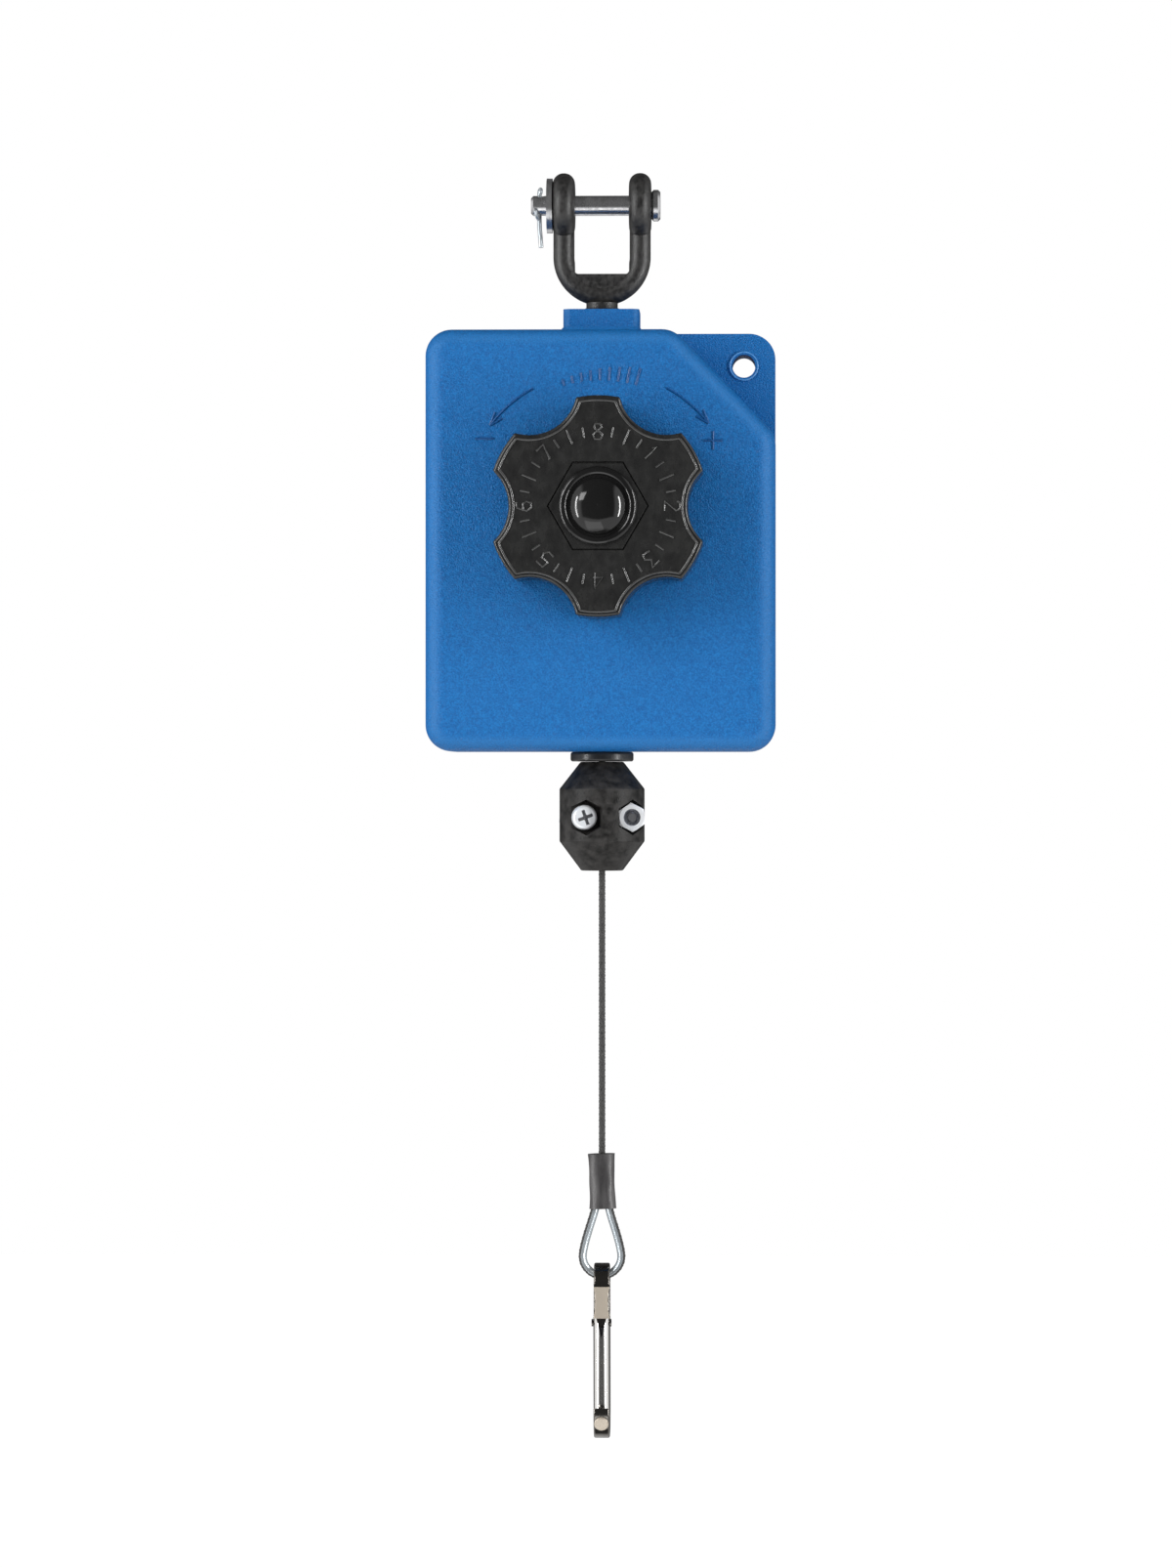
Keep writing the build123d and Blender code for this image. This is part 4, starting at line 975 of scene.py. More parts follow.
def frames_along(points: Sequence[Vector], across: Vector) -> list[tuple[Vector, Vector]]:
    """Two directions square to a line at each of its points, without twist.

    Args:
        points: the line's points.
        across: a direction that is square to the line at its start.

    Returns:
        The two directions at each point.
    """
    result = []
    side = across.normalized()
    for index in range(len(points)):
        tangent = direction(points, index)
        side = (side - tangent * side.dot(tangent)).normalized()
        result.append((side, tangent.cross(side)))
    return result


def direction(points: Sequence[Vector], index: int) -> Vector:
    """The direction of a line at one of its points."""
    return (points[min(index + 1, len(points) - 1)] - points[max(index - 1, 0)]).normalized()


def ring_faces(first: int, rings: int, sides: int, capped: bool = True) -> list[list[int]]:
    """The faces of a skin over rings of corners.

    Args:
        first: the place of the first ring's first corner.
        rings: how many rings there are.
        sides: how many corners each ring has.
        capped: whether the first and last rings are closed by a face.

    Returns:
        The faces.
    """
    faces = []
    for start in range(first, first + (rings - 1) * sides, sides):
        for k in range(sides):
            a, b = start + k, start + (k + 1) % sides
            faces.append([a, b, b + sides, a + sides])
    if capped:
        last = first + (rings - 1) * sides
        faces.append([first + k for k in reversed(range(sides))])
        faces.append([last + k for k in range(sides)])
    return faces


def round_tube(points: Sequence[Vector], across: Vector, radius: float, sides: int) -> list[Vector]:
    """The corners of a round tube along points, ring by ring.

    Args:
        points: the points that it follows.
        across: a direction that is square to the line at its start.
        radius: its radius.
        sides: how many sides it has.

    Returns:
        The corners.
    """
    corners = []
    for point, (side, up) in zip(points, frames_along(points, across)):
        for k in range(sides):
            angle = TWO_PI * k / sides
            corners.append(point + side * radius * math.cos(angle) + up * radius * math.sin(angle))
    return corners


def spline_points(points: Sequence[Point], step: float) -> list[Vector]:
    """Points along a NURBS curve, a step apart.

    Args:
        points: the curve's control points.
        step: the distance between the points that are given back.

    Returns:
        The evenly spaced points from the curve's start to its end.
    """
    data = bpy.data.curves.new("route", "CURVE")
    data.dimensions = "3D"
    data.resolution_u = 24
    spline = data.splines.new("NURBS")
    spline.points.add(len(points) - 1)
    for target, point in zip(spline.points, points):
        target.co = (*point, 1.0)
    spline.order_u = 3
    spline.use_endpoint_u = True
    curve = add_object("route", data)
    mesh = bpy.data.meshes.new_from_object(curve)
    raw = [v.co.copy() for v in mesh.vertices]
    bpy.data.meshes.remove(mesh)
    bpy.data.objects.remove(curve, do_unlink=True)
    return evenly_spaced(raw, step)


def evenly_spaced(line: Sequence[Vector], step: float) -> list[Vector]:
    """Divides a line into equal steps.

    Args:
        line: the line's own points.
        step: about how long a step is.

    Returns:
        The evenly spaced points.
    """
    lengths = [0.0]
    for a, b in zip(line, line[1:]):
        lengths.append(lengths[-1] + (b - a).length)
    count = max(2, round(lengths[-1] / step))
    points = []
    index = 0
    for k in range(count + 1):
        target = lengths[-1] * k / count
        while index < len(line) - 2 and lengths[index + 1] < target:
            index += 1
        run = lengths[index + 1] - lengths[index]
        share = (target - lengths[index]) / run if run else 0.0
        points.append(line[index].lerp(line[index + 1], min(max(share, 0.0), 1.0)))
    return points


def stroke(name: str, points: Sequence[Point], radius: float, closed: bool = False) -> Piece:
    """A round raised line through points, as a mesh.

    Args:
        name: the object's name.
        points: the points it goes through.
        radius: its radius.
        closed: whether its end joins its start.

    Returns:
        The new mesh object.
    """
    data = bpy.data.curves.new(name, "CURVE")
    data.dimensions = "3D"
    data.bevel_depth = radius
    data.bevel_resolution = 2
    data.use_fill_caps = not closed
    spline = data.splines.new("POLY")
    spline.use_cyclic_u = closed
    spline.points.add(len(points) - 1)
    for target, point in zip(spline.points, points):
        target.co = (*point, 1.0)
    make_active(add_object(name, data))
    bpy.ops.object.convert(target="MESH")
    return bpy.context.object


def turned(degrees: float, axis: Axis) -> Matrix:
    """A turn about one of the axes."""
    return Matrix.Rotation(math.radians(degrees), 4, axis.name)


# Sub-assemblies


@dataclass
class CordDressing:
    """The braided cord from the guide to its crimped loop, and the stretch that is drawn out."""

    paints: Paints
    across: Point = (0.0, 1.0, 0.0)
    diameter: float = 2.2 * MM
    step: float = 0.33 * MM
    # Braid
    pitch: float = 12.0 * MM
    strands: int = 6
    strand_width: float = 0.86 * MM
    strand_height: float = 0.4 * MM
    strand_sides: int = 6
    wave: float = 0.15 * MM
    core_r: float = 0.8 * MM
    core_sides: int = 10
    # Drawn stretch
    drawn_top: float = -168.2 * MM
    drawn_r: float = 1.06 * MM
    drawn_rings: int = 96
    drawn_sides: int = 24
    # Route
    line_top: float = -173.2 * MM
    ferrule_top: float = -305.9 * MM
    ferrule_bottom: float = -314.4 * MM
    straight_above: float = 9.1 * MM
    bend_above: float = 4.5 * MM
    end_above: float = 0.1 * MM
    strand_at: float = 1.12 * MM
    loop_middle: float = -333.2 * MM
    loop_corner: float = 6.93 * MM
    loop_turns: tuple[float, ...] = (157.5, 202.5, 247.5, 292.5, 337.5, 382.5)
    path_points: int = 200
    # Shrink sleeve
    sleeve_top: float = -300.75 * MM
    sleeve_bottom: float = -318.1 * MM
    sleeve_half: tuple[float, float] = (4.15 * MM, 3.2 * MM)
    sleeve_inside: tuple[float, float] = (3.55 * MM, 2.65 * MM)
    sleeve_folds: tuple[float, ...] = (0.0, 1.2 * MM, 3.0 * MM)
    sleeve_shoulder: tuple[float, float] = (2.2 * MM, 1.9 * MM)
    sleeve_collar: float = 1.25 * MM
    collar_below: float = 0.9 * MM
    sleeve_flare: float = 0.28 * MM
    sleeve_square: float = 0.82
    sleeve_sides: int = 64
    sleeve_rings: int = 26
    sleeve_lean: float = -1.6
    # How many ripples go round, how high they are, and how they turn from ring to ring
    ripples: tuple[tuple[int, float, float], ...] = ((3, 0.012, 0.3), (5, 0.008, -0.5))
    # Thimble
    thimble_below: float = 2.8 * MM
    groove_r: float = 1.15 * MM
    thimble_wall: float = 0.4 * MM
    profile_step: int = 12
    lip: float = 0.3 * MM
    inner_lip: float = 0.93
    thimble_bevel: float = 0.12 * MM

    def route(self) -> list[Point]:
        """The cord's control points: down, round the loop and back up to the crimp.

        Returns:
            The points.
        """
        points: list[Point] = [
            (0.0, 0.0, self.line_top),
            (0.0, 0.0, self.ferrule_top + self.straight_above),
            (0.0, 0.0, self.ferrule_top + self.bend_above),
            (-self.strand_at, 0.0, self.ferrule_top),
            (-self.strand_at, 0.0, self.ferrule_bottom),
        ]
        for angle in map(math.radians, self.loop_turns):
            x = self.loop_corner * math.cos(angle)
            points.append((x, 0.0, self.loop_middle + self.loop_corner * math.sin(angle)))
        points.append((self.strand_at, 0.0, self.ferrule_bottom))
        points.append((self.strand_at, 0.0, self.ferrule_top + self.end_above))
        return points

    def strand_line(self, points: Sequence[Vector], turn: int, index: int) -> list[Vector]:
        """One strand's own line, winding round the cord and waving over and under its neighbours.

        Args:
            points: the cord's middle line.
            turn: 1 or -1, the way the strand winds.
            index: which of the strands of that way it is.

        Returns:
            The strand's points.
        """
        middle = self.diameter / 2 - self.strand_height / 2 - self.wave
        result = []
        for k, (point, (side, up)) in enumerate(zip(points, frames_along(points, Vector(self.across)))):
            along = k * self.step
            angle = turn * TWO_PI * along / self.pitch + TWO_PI * index / self.strands
            swell = turn * self.wave * math.cos(TWO_PI * self.strands * along / self.pitch)
            radius = middle + swell
            result.append(point + (side * math.cos(angle) + up * math.sin(angle)) * radius)
        return result

    def strand_corners(self, line: Sequence[Vector], points: Sequence[Vector]) -> list[Vector]:
        """The corners of one flat oval strand, ring by ring.

        Args:
            line: the strand's own line.
            points: the cord's middle line.

        Returns:
            The corners.
        """
        corners = []
        for k, (point, middle) in enumerate(zip(line, points)):
            out = (point - middle).normalized()
            across = direction(line, k).cross(out)
            for j in range(self.strand_sides):
                angle = TWO_PI * j / self.strand_sides
                wide = across * self.strand_width / 2 * math.cos(angle)
                corners.append(point + wide + out * self.strand_height / 2 * math.sin(angle))
        return corners

    def braided_cord(self) -> Piece:
        """Two sets of strands braided round a core, along the route's spline.

        Returns:
            The cord.
        """
        points = spline_points(self.route(), self.step)
        rings = len(points)
        corners = round_tube(points, Vector(self.across), self.core_r, self.core_sides)
        faces = ring_faces(0, rings, self.core_sides)
        for turn in (-1, 1):
            for index in range(self.strands):
                faces += ring_faces(len(corners), rings, self.strand_sides)
                corners += self.strand_corners(self.strand_line(points, turn, index), points)
        piece = smooth(recalculate(mesh_from("braided_cord", corners, faces)), 70.0)
        self.paints.coat(piece, Finish.STRAND)
        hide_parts("cord")
        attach(piece, Body.LINE.value)
        return piece

    def drawn_cord(self) -> Piece:
        """The stretch in the guide, between the case and the drawn line.

        Returns:
            The stretch.
        """
        rings = self.drawn_rings
        drop = self.line_top - self.drawn_top
        points = [Vector((0, 0, self.drawn_top + drop * k / rings)) for k in range(rings + 1)]
        corners = round_tube(points, Vector(self.across), self.drawn_r, self.drawn_sides)
        piece = smooth(mesh_from("cord_drawn", corners, ring_faces(0, len(points), self.drawn_sides)), 50.0)
        self.paints.coat(piece, Finish.BRAID)
        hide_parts("cord_payout")
        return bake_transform(piece)

    def sleeve_ovals(self) -> list[tuple[float, float, float]]:
        """The shrink sleeve's ovals: its collar on the cord, its skin downwards, then its inside.

        Returns:
            Each oval's height, half width and half depth.
        """
        top, bottom = self.sleeve_top, self.sleeve_bottom
        ovals = [
            (top - self.collar_below, self.sleeve_collar, self.sleeve_collar),
            (top, *self.sleeve_shoulder),
        ]
        for k in range(self.sleeve_rings + 1):
            share = k / self.sleeve_rings
            flare = self.sleeve_flare * (abs(2 * share - 1) ** 3 - 0.5)
            ovals.append((top + (bottom - top) * share, *(half + flare for half in self.sleeve_half)))
        ovals += [(bottom + depth, *self.sleeve_inside) for depth in self.sleeve_folds]
        return ovals

    def wobble(self, angle: float, ring: int) -> float:
        """How far the sleeve's skin swells at an angle of one of its rings, 1 on average."""
        waves = (rise * math.sin(count * angle + ring * twist) for count, rise, twist in self.ripples)
        return 1 + sum(waves)

    def shrink_sleeve(self) -> Piece:
        """The shrink tube over the crimp: an oval skin, drawn in at its middle and cut a little askew.

        Returns:
            The sleeve.
        """
        ovals = self.sleeve_ovals()
        corners = []
        for ring, (z, half_x, half_y) in enumerate(ovals):
            for k in range(self.sleeve_sides):
                angle = TWO_PI * k / self.sleeve_sides
                wobble = self.wobble(angle, ring)
                x, y = (
                    half * wobble * math.copysign(abs(way) ** self.sleeve_square, way)
                    for half, way in ((half_x, math.cos(angle)), (half_y, math.sin(angle)))
                )
                corners.append(Vector((x, y, z)))
        faces = ring_faces(0, len(ovals), self.sleeve_sides, capped=False)
        piece = mesh_from("crimp_sleeve", corners, faces)
        middle = Vector((0.0, 0.0, (self.sleeve_top + self.sleeve_bottom) / 2))
        lean = turned(self.sleeve_lean, Axis.Y)
        place_mesh(piece, Matrix.Translation(middle) @ lean @ Matrix.Translation(-middle))
        smooth(recalculate(piece), 50.0)
        self.paints.coat(piece, Finish.SHRINK)
        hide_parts("sleeve_cover")
        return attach(piece, Body.LINE.value)

    def channel(self) -> list[tuple[float, float]]:
        """The thimble's profile: half a ring, with a lip at each end.

        Returns:
            Each corner's place across the cord, and inwards from the cord's middle line.
        """
        profile = []
        for radius, way in ((self.groove_r + self.thimble_wall, 1), (self.groove_r, -1)):
            half = []
            for angle in map(math.radians, range(0, 181, self.profile_step)):
                half.append((way * radius * math.cos(angle), radius * math.sin(angle)))
            lip = self.lip * (1.0 if way == 1 else self.inner_lip)
            profile += [(half[0][0], -lip)] + half + [(half[-1][0], -lip)]
        return profile

    def thimble(self) -> Piece:
        """A rolled channel that follows the loop inside the cord, open towards the cord.

        Returns:
            The thimble.
        """
        points = spline_points(self.route(), self.step)
        low = [k for k, p in enumerate(points) if p.z < self.ferrule_bottom - self.thimble_below]
        run = points[low[0] : low[-1] + 1]
        profile = self.channel()
        corners = []
        middle = Vector((0.0, 0.0, self.loop_middle))
        for point, (side, up) in zip(run, frames_along(run, Vector(self.across))):
            inward = up if up.dot(middle - point) > 0 else -up
            corners += [point + side * across + inward * depth for across, depth in profile]
        piece = recalculate(mesh_from("rolled_thimble", corners, ring_faces(0, len(run), len(profile))))
        apply_modifier(
            piece, "BEVEL",
            width=self.thimble_bevel, segments=2, limit_method="ANGLE", angle_limit=math.radians(60),
        )
        smooth(piece, 40.0)
        self.paints.coat(piece, Finish.THIMBLE)
        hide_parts("thimble")
        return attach(piece, Body.LINE.value)

    def build(self, nodes: CadNodes) -> list[Piece]:
        """Makes the cord's pieces and paints the CAD nodes that go with it.

        Args:
            nodes: the CAD nodes.

        Returns:
            The new pieces.
        """
        self.paints.coat_nodes(nodes, Finish.BRAID, ["cord_lead", "wound_cord"])
        self.paints.coat_nodes(nodes, Finish.ALUMINIUM, ["ferrule"])
        return [self.braided_cord(), self.drawn_cord(), self.shrink_sleeve(), self.thimble()]


@dataclass
class Fasteners:
    """Cross-recessed screws and chamfered nuts, for the stop and the case."""

    paints: Paints
    overrun: float = MM
    # depth below the top from which a recess or hole takes its painted shade
    recess_shade_skin: float = 0.05 * MM
    # Screw head
    head_sides: int = 64
    crown: float = 0.4
    crown_segments: int = 5
    recess_depth: float = 1.4 * MM
    recess_width: float = 1.05 * MM
    recess_reach: float = 2.45 * MM
    point_low_r: float = 0.2 * MM
    point_high_r: float = 1.3 * MM
    point_depth: float = 1.2
    point_middle: float = 0.55
    # how far out, as a share of the recess's reach, a screw's painted shade goes
    recess_shade_reach: float = 1.1
    # Screw shank
    shank_sides: int = 32
    shank_r: float = 0.9
    shank_into_head: float = 0.2 * MM
    shank_tip: float = 0.5 * MM
    # Thread
    thread_pitch: float = 0.7 * MM
    thread_root: float = 0.88
    thread_flank: float = 0.3
    thread_steps: int = 24
    thread_short: float = 1.5 * MM
    # Nut
    cut_sides: int = 48
    crown_slope: float = 1.7
    crown_inside: float = 0.1 * MM
    crown_over: float = 1.01
    crown_lift: float = 0.001 * MM
    chamfer: float = 0.75 * MM
    sink_inside: float = 0.3 * MM
    sink_depth: float = 1.2 * MM
    sink_middle: float = 0.55 * MM

    def pan_screw(self, diameter: float, length: float, head: float, height: float) -> Piece:
        """A pan head screw along Z with its head above z 0.

        Args:
            diameter: the thread's diameter.
            length: the shank's length.
            head: the head's diameter.
            height: the head's height.

        Returns:
            The screw as one mesh.
        """
        top = cylinder("screw_head", head / 2, 0.0, height, self.head_sides)
        bevel_rim(top, height, height * self.crown, self.crown_segments)
        floor = height - self.recess_depth
        for turn in (0.0, 90.0):
            low = (-self.recess_reach, -self.recess_width / 2, floor)
            high = (self.recess_reach, self.recess_width / 2, height + self.overrun)
            combine(top, place_mesh(block(low, high), turned(turn, Axis.Z)), "DIFFERENCE")
        middle = height - self.recess_depth * self.point_middle
        point = cone(self.point_low_r, self.point_high_r, self.recess_depth * self.point_depth, middle, 4)
        combine(top, point, "DIFFERENCE")
        shank_r = diameter / 2 * self.shank_r
        shank = cylinder("screw_shank", shank_r, -length, self.shank_into_head, self.shank_sides)
        bevel_rim(shank, -length, self.shank_tip, 1)
        screw = smooth(join([top, shank, self.thread(diameter, length)], "screw"), 30.0)
        self.coat_with_recess_shade(screw, self.recess_reach * self.recess_shade_reach, height - self.recess_shade_skin)
        return screw

    def coat_with_recess_shade(self, piece: Piece, reach: float, level: float) -> None:
        """Gives a fastener its satin finish, and a mirror-like zinc inside its recess or hole that shows
        darker: painted shade.

        Args:
            piece: the fastener.
            reach: how far from its axis the shaded faces lie.
            level: the height that they lie below.
        """
        self.paints.coat(piece, Finish.SATIN_ZINC)
        # painted shade: the faces inside the recess or hole take the mirror-like zinc, which shows dark
        piece.data.materials.append(self.paints.materials[Finish.ZINC])
        for face in piece.data.polygons:
            place = face.center
            face.material_index = int(math.hypot(place.x, place.y) < reach and place.z < level)

    def thread(self, diameter: float, length: float) -> Piece:
        """A spiral ridge round a shank below z 0.

        Args:
            diameter: its outer diameter.
            length: the shank's length.

        Returns:
            The ridge.
        """
        pitch, steps = self.thread_pitch, self.thread_steps
        count = int((length - self.thread_short) / pitch * steps)
        root, crest = diameter / 2 * self.thread_root, diameter / 2
        corners = []
        for k in range(count + 1):
            angle = TWO_PI * k / steps
            z = -length + pitch + pitch * k / steps
            out = Vector((math.cos(angle), math.sin(angle), 0.0))
            for radius, lift in ((root, -self.thread_flank), (crest, 0.0), (root, self.thread_flank)):
                corners.append(out * radius + Vector((0, 0, z + lift * pitch)))
        return recalculate(mesh_from("thread", corners, ring_faces(0, count + 1, 3)))

    def nut(self, flats: float, thick: float, bore: float) -> Piece:
        """A hexagon nut from z 0 upwards, with its corners chamfered and one corner up.

        Args:
            flats: the distance across its flats.
            thick: its thickness.
            bore: its hole's diameter.

        Returns:
            The nut as one mesh.
        """
        corner = flats / math.sqrt(3)
        body = cylinder("nut", corner, 0.0, thick, 6)
        crown = cone(
            corner + thick * self.crown_slope, flats / 2 - self.crown_inside,
            thick * self.crown_over, thick / 2 + self.crown_lift, self.head_sides,
        )
        combine(body, crown, "INTERSECT")
        hole = cylinder("cutter", bore / 2, -self.overrun, thick + self.overrun, self.cut_sides)
        combine(body, hole, "DIFFERENCE")
        sink = cone(
            bore / 2 - self.sink_inside, bore / 2 + self.chamfer,
            self.sink_depth, thick - self.sink_middle, self.cut_sides,
        )
        combine(body, sink, "DIFFERENCE")
        self.coat_with_recess_shade(body, bore / 2 + self.chamfer, thick - self.recess_shade_skin)
        return smooth(body, 25.0)


@dataclass
class StopDressing:
    """The clamped cord stop with its two screws and nuts."""

    paints: Paints
    fasteners: Fasteners
    turn: float = 14.0
    screw_at: float = 7.5 * MM
    screw_z: float = -194.0 * MM
    floor: float = 7.0 * MM
    nut_thick: float = 3.0 * MM
    nut_flats: float = 8.1 * MM
    screw_diameter: float = 4.0 * MM
    head_diameter: float = 7.9 * MM
    head_height: float = 2.7 * MM
    screw_spins: tuple[float, float] = (20.0, 65.0)
    nut_spins: tuple[float, float] = (4.0, 10.0)

    def facing(self, side: Side, x: float, spin: float) -> Matrix:
        """The place of a fastener whose own +Z faces out of one side of the stop.

        Args:
            side: the side that it faces.
            x: its place across the stop.
            spin: its turn about its own axis, in degrees.

        Returns:
            The matrix for its mesh.
        """
        stand = turned(90.0 if side is Side.FRONT else -90.0, Axis.X)
        move = Matrix.Translation((x, side.value * self.floor, self.screw_z))
        return turned(self.turn, Axis.Z) @ move @ stand @ turned(spin, Axis.Z)

    def screws(self) -> Piece:
        """The two pan head screws, one from each side.

        Returns:
            The screws as one piece.
        """
        length = 2 * self.floor + self.nut_thick
        size = (self.screw_diameter, length, self.head_diameter, self.head_height)
        parts = []
        for side, spin in zip(Side, self.screw_spins):
            place = self.facing(side, side.value * self.screw_at, spin)
            parts.append(place_mesh(self.fasteners.pan_screw(*size), place))
        return join(parts, "stop_pan_screws")

    def nuts(self) -> Piece:
        """The two hexagon nuts, each beside the other side's screw.

        Returns:
            The nuts as one piece.
        """
        parts = []
        for side, spin in zip(Side, self.nut_spins):
            nut = self.fasteners.nut(self.nut_flats, self.nut_thick, self.screw_diameter)
            parts.append(place_mesh(nut, self.facing(side, -side.value * self.screw_at, spin)))
        return join(parts, "stop_hex_nuts")

    def build(self, nodes: CadNodes) -> list[Piece]:
        """Makes the screws and nuts and paints the halves.

        Args:
            nodes: the CAD nodes.

        Returns:
            The new pieces.
        """
        self.paints.coat_nodes(nodes, Finish.STOP, ["stop_front_half", "stop_rear_half"])
        pieces = [self.screws(), self.nuts()]
        for piece, node in zip(pieces, ("stop_screws", "stop_nuts")):
            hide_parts(node)
            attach(piece, Body.STOP.value)
        return pieces


@dataclass
class CaseDressing:
    """The blue case with its raised signs, and its screws behind."""

    paints: Paints
    fasteners: Fasteners
    face_y: float = -25.0 * MM
    arbor_z: float = -97.6 * MM
    # Signs
    stroke_r: float = 0.4 * MM
    arc_r: float = 43.4 * MM
    arc_steps: int = 24
    arrows: tuple[tuple[float, float], ...] = ((-28.7, -52.5), (28.7, 51.5))
    barb_out: float = 1.5 * MM
    barb_back: float = 5.5
    ticks: int = 9
    tick_first: float = -16.0
    tick_pitch: float = 4.0
    tick_inner: float = 40.5
    tick_outer: float = 42.4
    tick_growth: float = 0.45
    bar_half: float = 2.9 * MM
    minus_at: tuple[float, float] = (-36.2 * MM, -75.3 * MM)
    plus_at: tuple[float, float] = (35.4 * MM, -76.0 * MM)
    # Safety hole
    hole_x: float = 45.0 * MM
    hole_z: float = -51.0 * MM
    ring_r: float = 4.4 * MM
    ring_y: float = -0.4 * MM
    ring_stroke: float = 0.3 * MM
    ring_steps: int = 72
    # Screws
    screw_head_y: float = 16.0 * MM
    screw_diameter: float = 4.0 * MM
    screw_length: float = 24.0 * MM
    head_diameter: float = 7.4 * MM
    head_height: float = 2.4 * MM
    first_spin: float = 25
    next_spin: float = 37
    screw_places: tuple[tuple[float, float], ...] = (
        (-45.7 * MM, -50.0 * MM),
        (-45.7 * MM, -163.9 * MM),
        (45.7 * MM, -163.9 * MM),
        (32.21 * MM, -63.82 * MM),
    )

    def on_face(self, radius: float, degrees: float) -> Point:
        """A point on the case's face at a radius and clock angle from the arbor, 0 at the top."""
        angle = math.radians(degrees)
        return (radius * math.sin(angle), self.face_y, self.arbor_z + radius * math.cos(angle))

    def arrow(self, start: float, end: float) -> list[Piece]:
        """A curved arrow.

        Args:
            start: the clock angle of its tail.
            end: the clock angle of its head.

        Returns:
            Its arc and the two barbs of its head.
        """
        steps = self.arc_steps
        arc = [self.on_face(self.arc_r, start + (end - start) * k / steps) for k in range(steps + 1)]
        way = 1 if end > start else -1
        parts = [stroke("arc", arc, self.stroke_r)]
        for radius in (self.arc_r - self.barb_out, self.arc_r + self.barb_out):
            barb = [self.on_face(self.arc_r, end), self.on_face(radius, end - way * self.barb_back)]
            parts.append(stroke("barb", barb, self.stroke_r))
        return parts

    def scale(self) -> list[Piece]:
        """A plain scale of short lines above the knob, growing clockwise.

        Returns:
            The lines.
        """
        parts = []
        for k in range(self.ticks):
            angle = self.tick_first + self.tick_pitch * k
            reach = (self.tick_inner * MM, (self.tick_outer + self.tick_growth * k) * MM)
            parts.append(stroke("tick", [self.on_face(radius, angle) for radius in reach], self.stroke_r))
        return parts

    def bar(self, middle: tuple[float, float], axis: Axis) -> Piece:
        """A straight line of a plus or minus.

        Args:
            middle: its middle in X and Z.
            axis: the way it lies.

        Returns:
            The line.
        """
        ends = []
        for half in (-self.bar_half, self.bar_half):
            end = [middle[0], self.face_y, middle[1]]
            end[axis.value] += half
            ends.append(tuple(end))
        return stroke("bar", ends, self.stroke_r)

    def signs(self) -> Piece:
        """The raised arrows, minus, plus and scale.

        Returns:
            The signs as one piece.
        """
        parts = [part for start, end in self.arrows for part in self.arrow(start, end)] + self.scale()
        for middle, axis in ((self.minus_at, Axis.X), (self.plus_at, Axis.X), (self.plus_at, Axis.Z)):
            parts.append(self.bar(middle, axis))
        return smooth(join(parts, "case_signs"), 60.0)

    def hole_ring(self) -> Piece:
        """A raised ring round the lug's safety hole, coloured lighter blue as a painted highlight on the
        hole's rounded rim.

        Returns:
            The rim.
        """
        points = []
        for k in range(self.ring_steps):
            angle = TWO_PI * k / self.ring_steps
            x = self.hole_x + self.ring_r * math.cos(angle)
            points.append((x, self.ring_y, self.hole_z + self.ring_r * math.sin(angle)))
        return smooth(stroke("hole_ring", points, self.ring_stroke, closed=True), 60.0)

    def rear_screws(self) -> Piece:
        """The four screws whose heads sit in the rear shell's counterbores.

        Returns:
            The screws as one piece.
        """
        size = (self.screw_diameter, self.screw_length, self.head_diameter, self.head_height)
        parts = []
        for k, (x, z) in enumerate(self.screw_places):
            place = Matrix.Translation((x, self.screw_head_y, z)) @ turned(-90, Axis.X)
            spin = turned(self.first_spin + self.next_spin * k, Axis.Z)
            parts.append(place_mesh(self.fasteners.pan_screw(*size), place @ spin))
        return join(parts, "case_pan_screws")

    def build(self, nodes: CadNodes) -> list[Piece]:
        """Makes the case's own pieces and paints its nodes.

        Args:
            nodes: the CAD nodes.

        Returns:
            The new pieces.
        """
        self.paints.coat_nodes(nodes, Finish.CASE, ["front_shell", "rear_shell"])
        self.paints.coat_nodes(nodes, Finish.GUIDE, ["cord_guide"])
        self.paints.coat_nodes(nodes, Finish.INNER, ["ratchet_ring", "reel", "reel_cover"])
        self.paints.coat_nodes(nodes, Finish.BRONZE, ["swivel_bush", "front_bush", "rear_bush"])
        self.paints.coat_nodes(nodes, Finish.ZINC, ["reel_screws"])
        self.paints.coat_nodes(nodes, Finish.DARK_STEEL, ["power_spring"])
        # The signs take the darker blue as painted shade.
        signs, ring = self.signs(), self.hole_ring()
        # The ring round the hole takes the lighter blue as a painted highlight.
        for piece, finish in ((signs, Finish.SIGN), (ring, Finish.RUBBED)):
            self.paints.coat(piece, finish)
            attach(piece, Body.HOUSING.value)
        screws = self.rear_screws()
        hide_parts("case_screws")
        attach(screws, Body.HOUSING.value)
        return [signs, ring, screws]


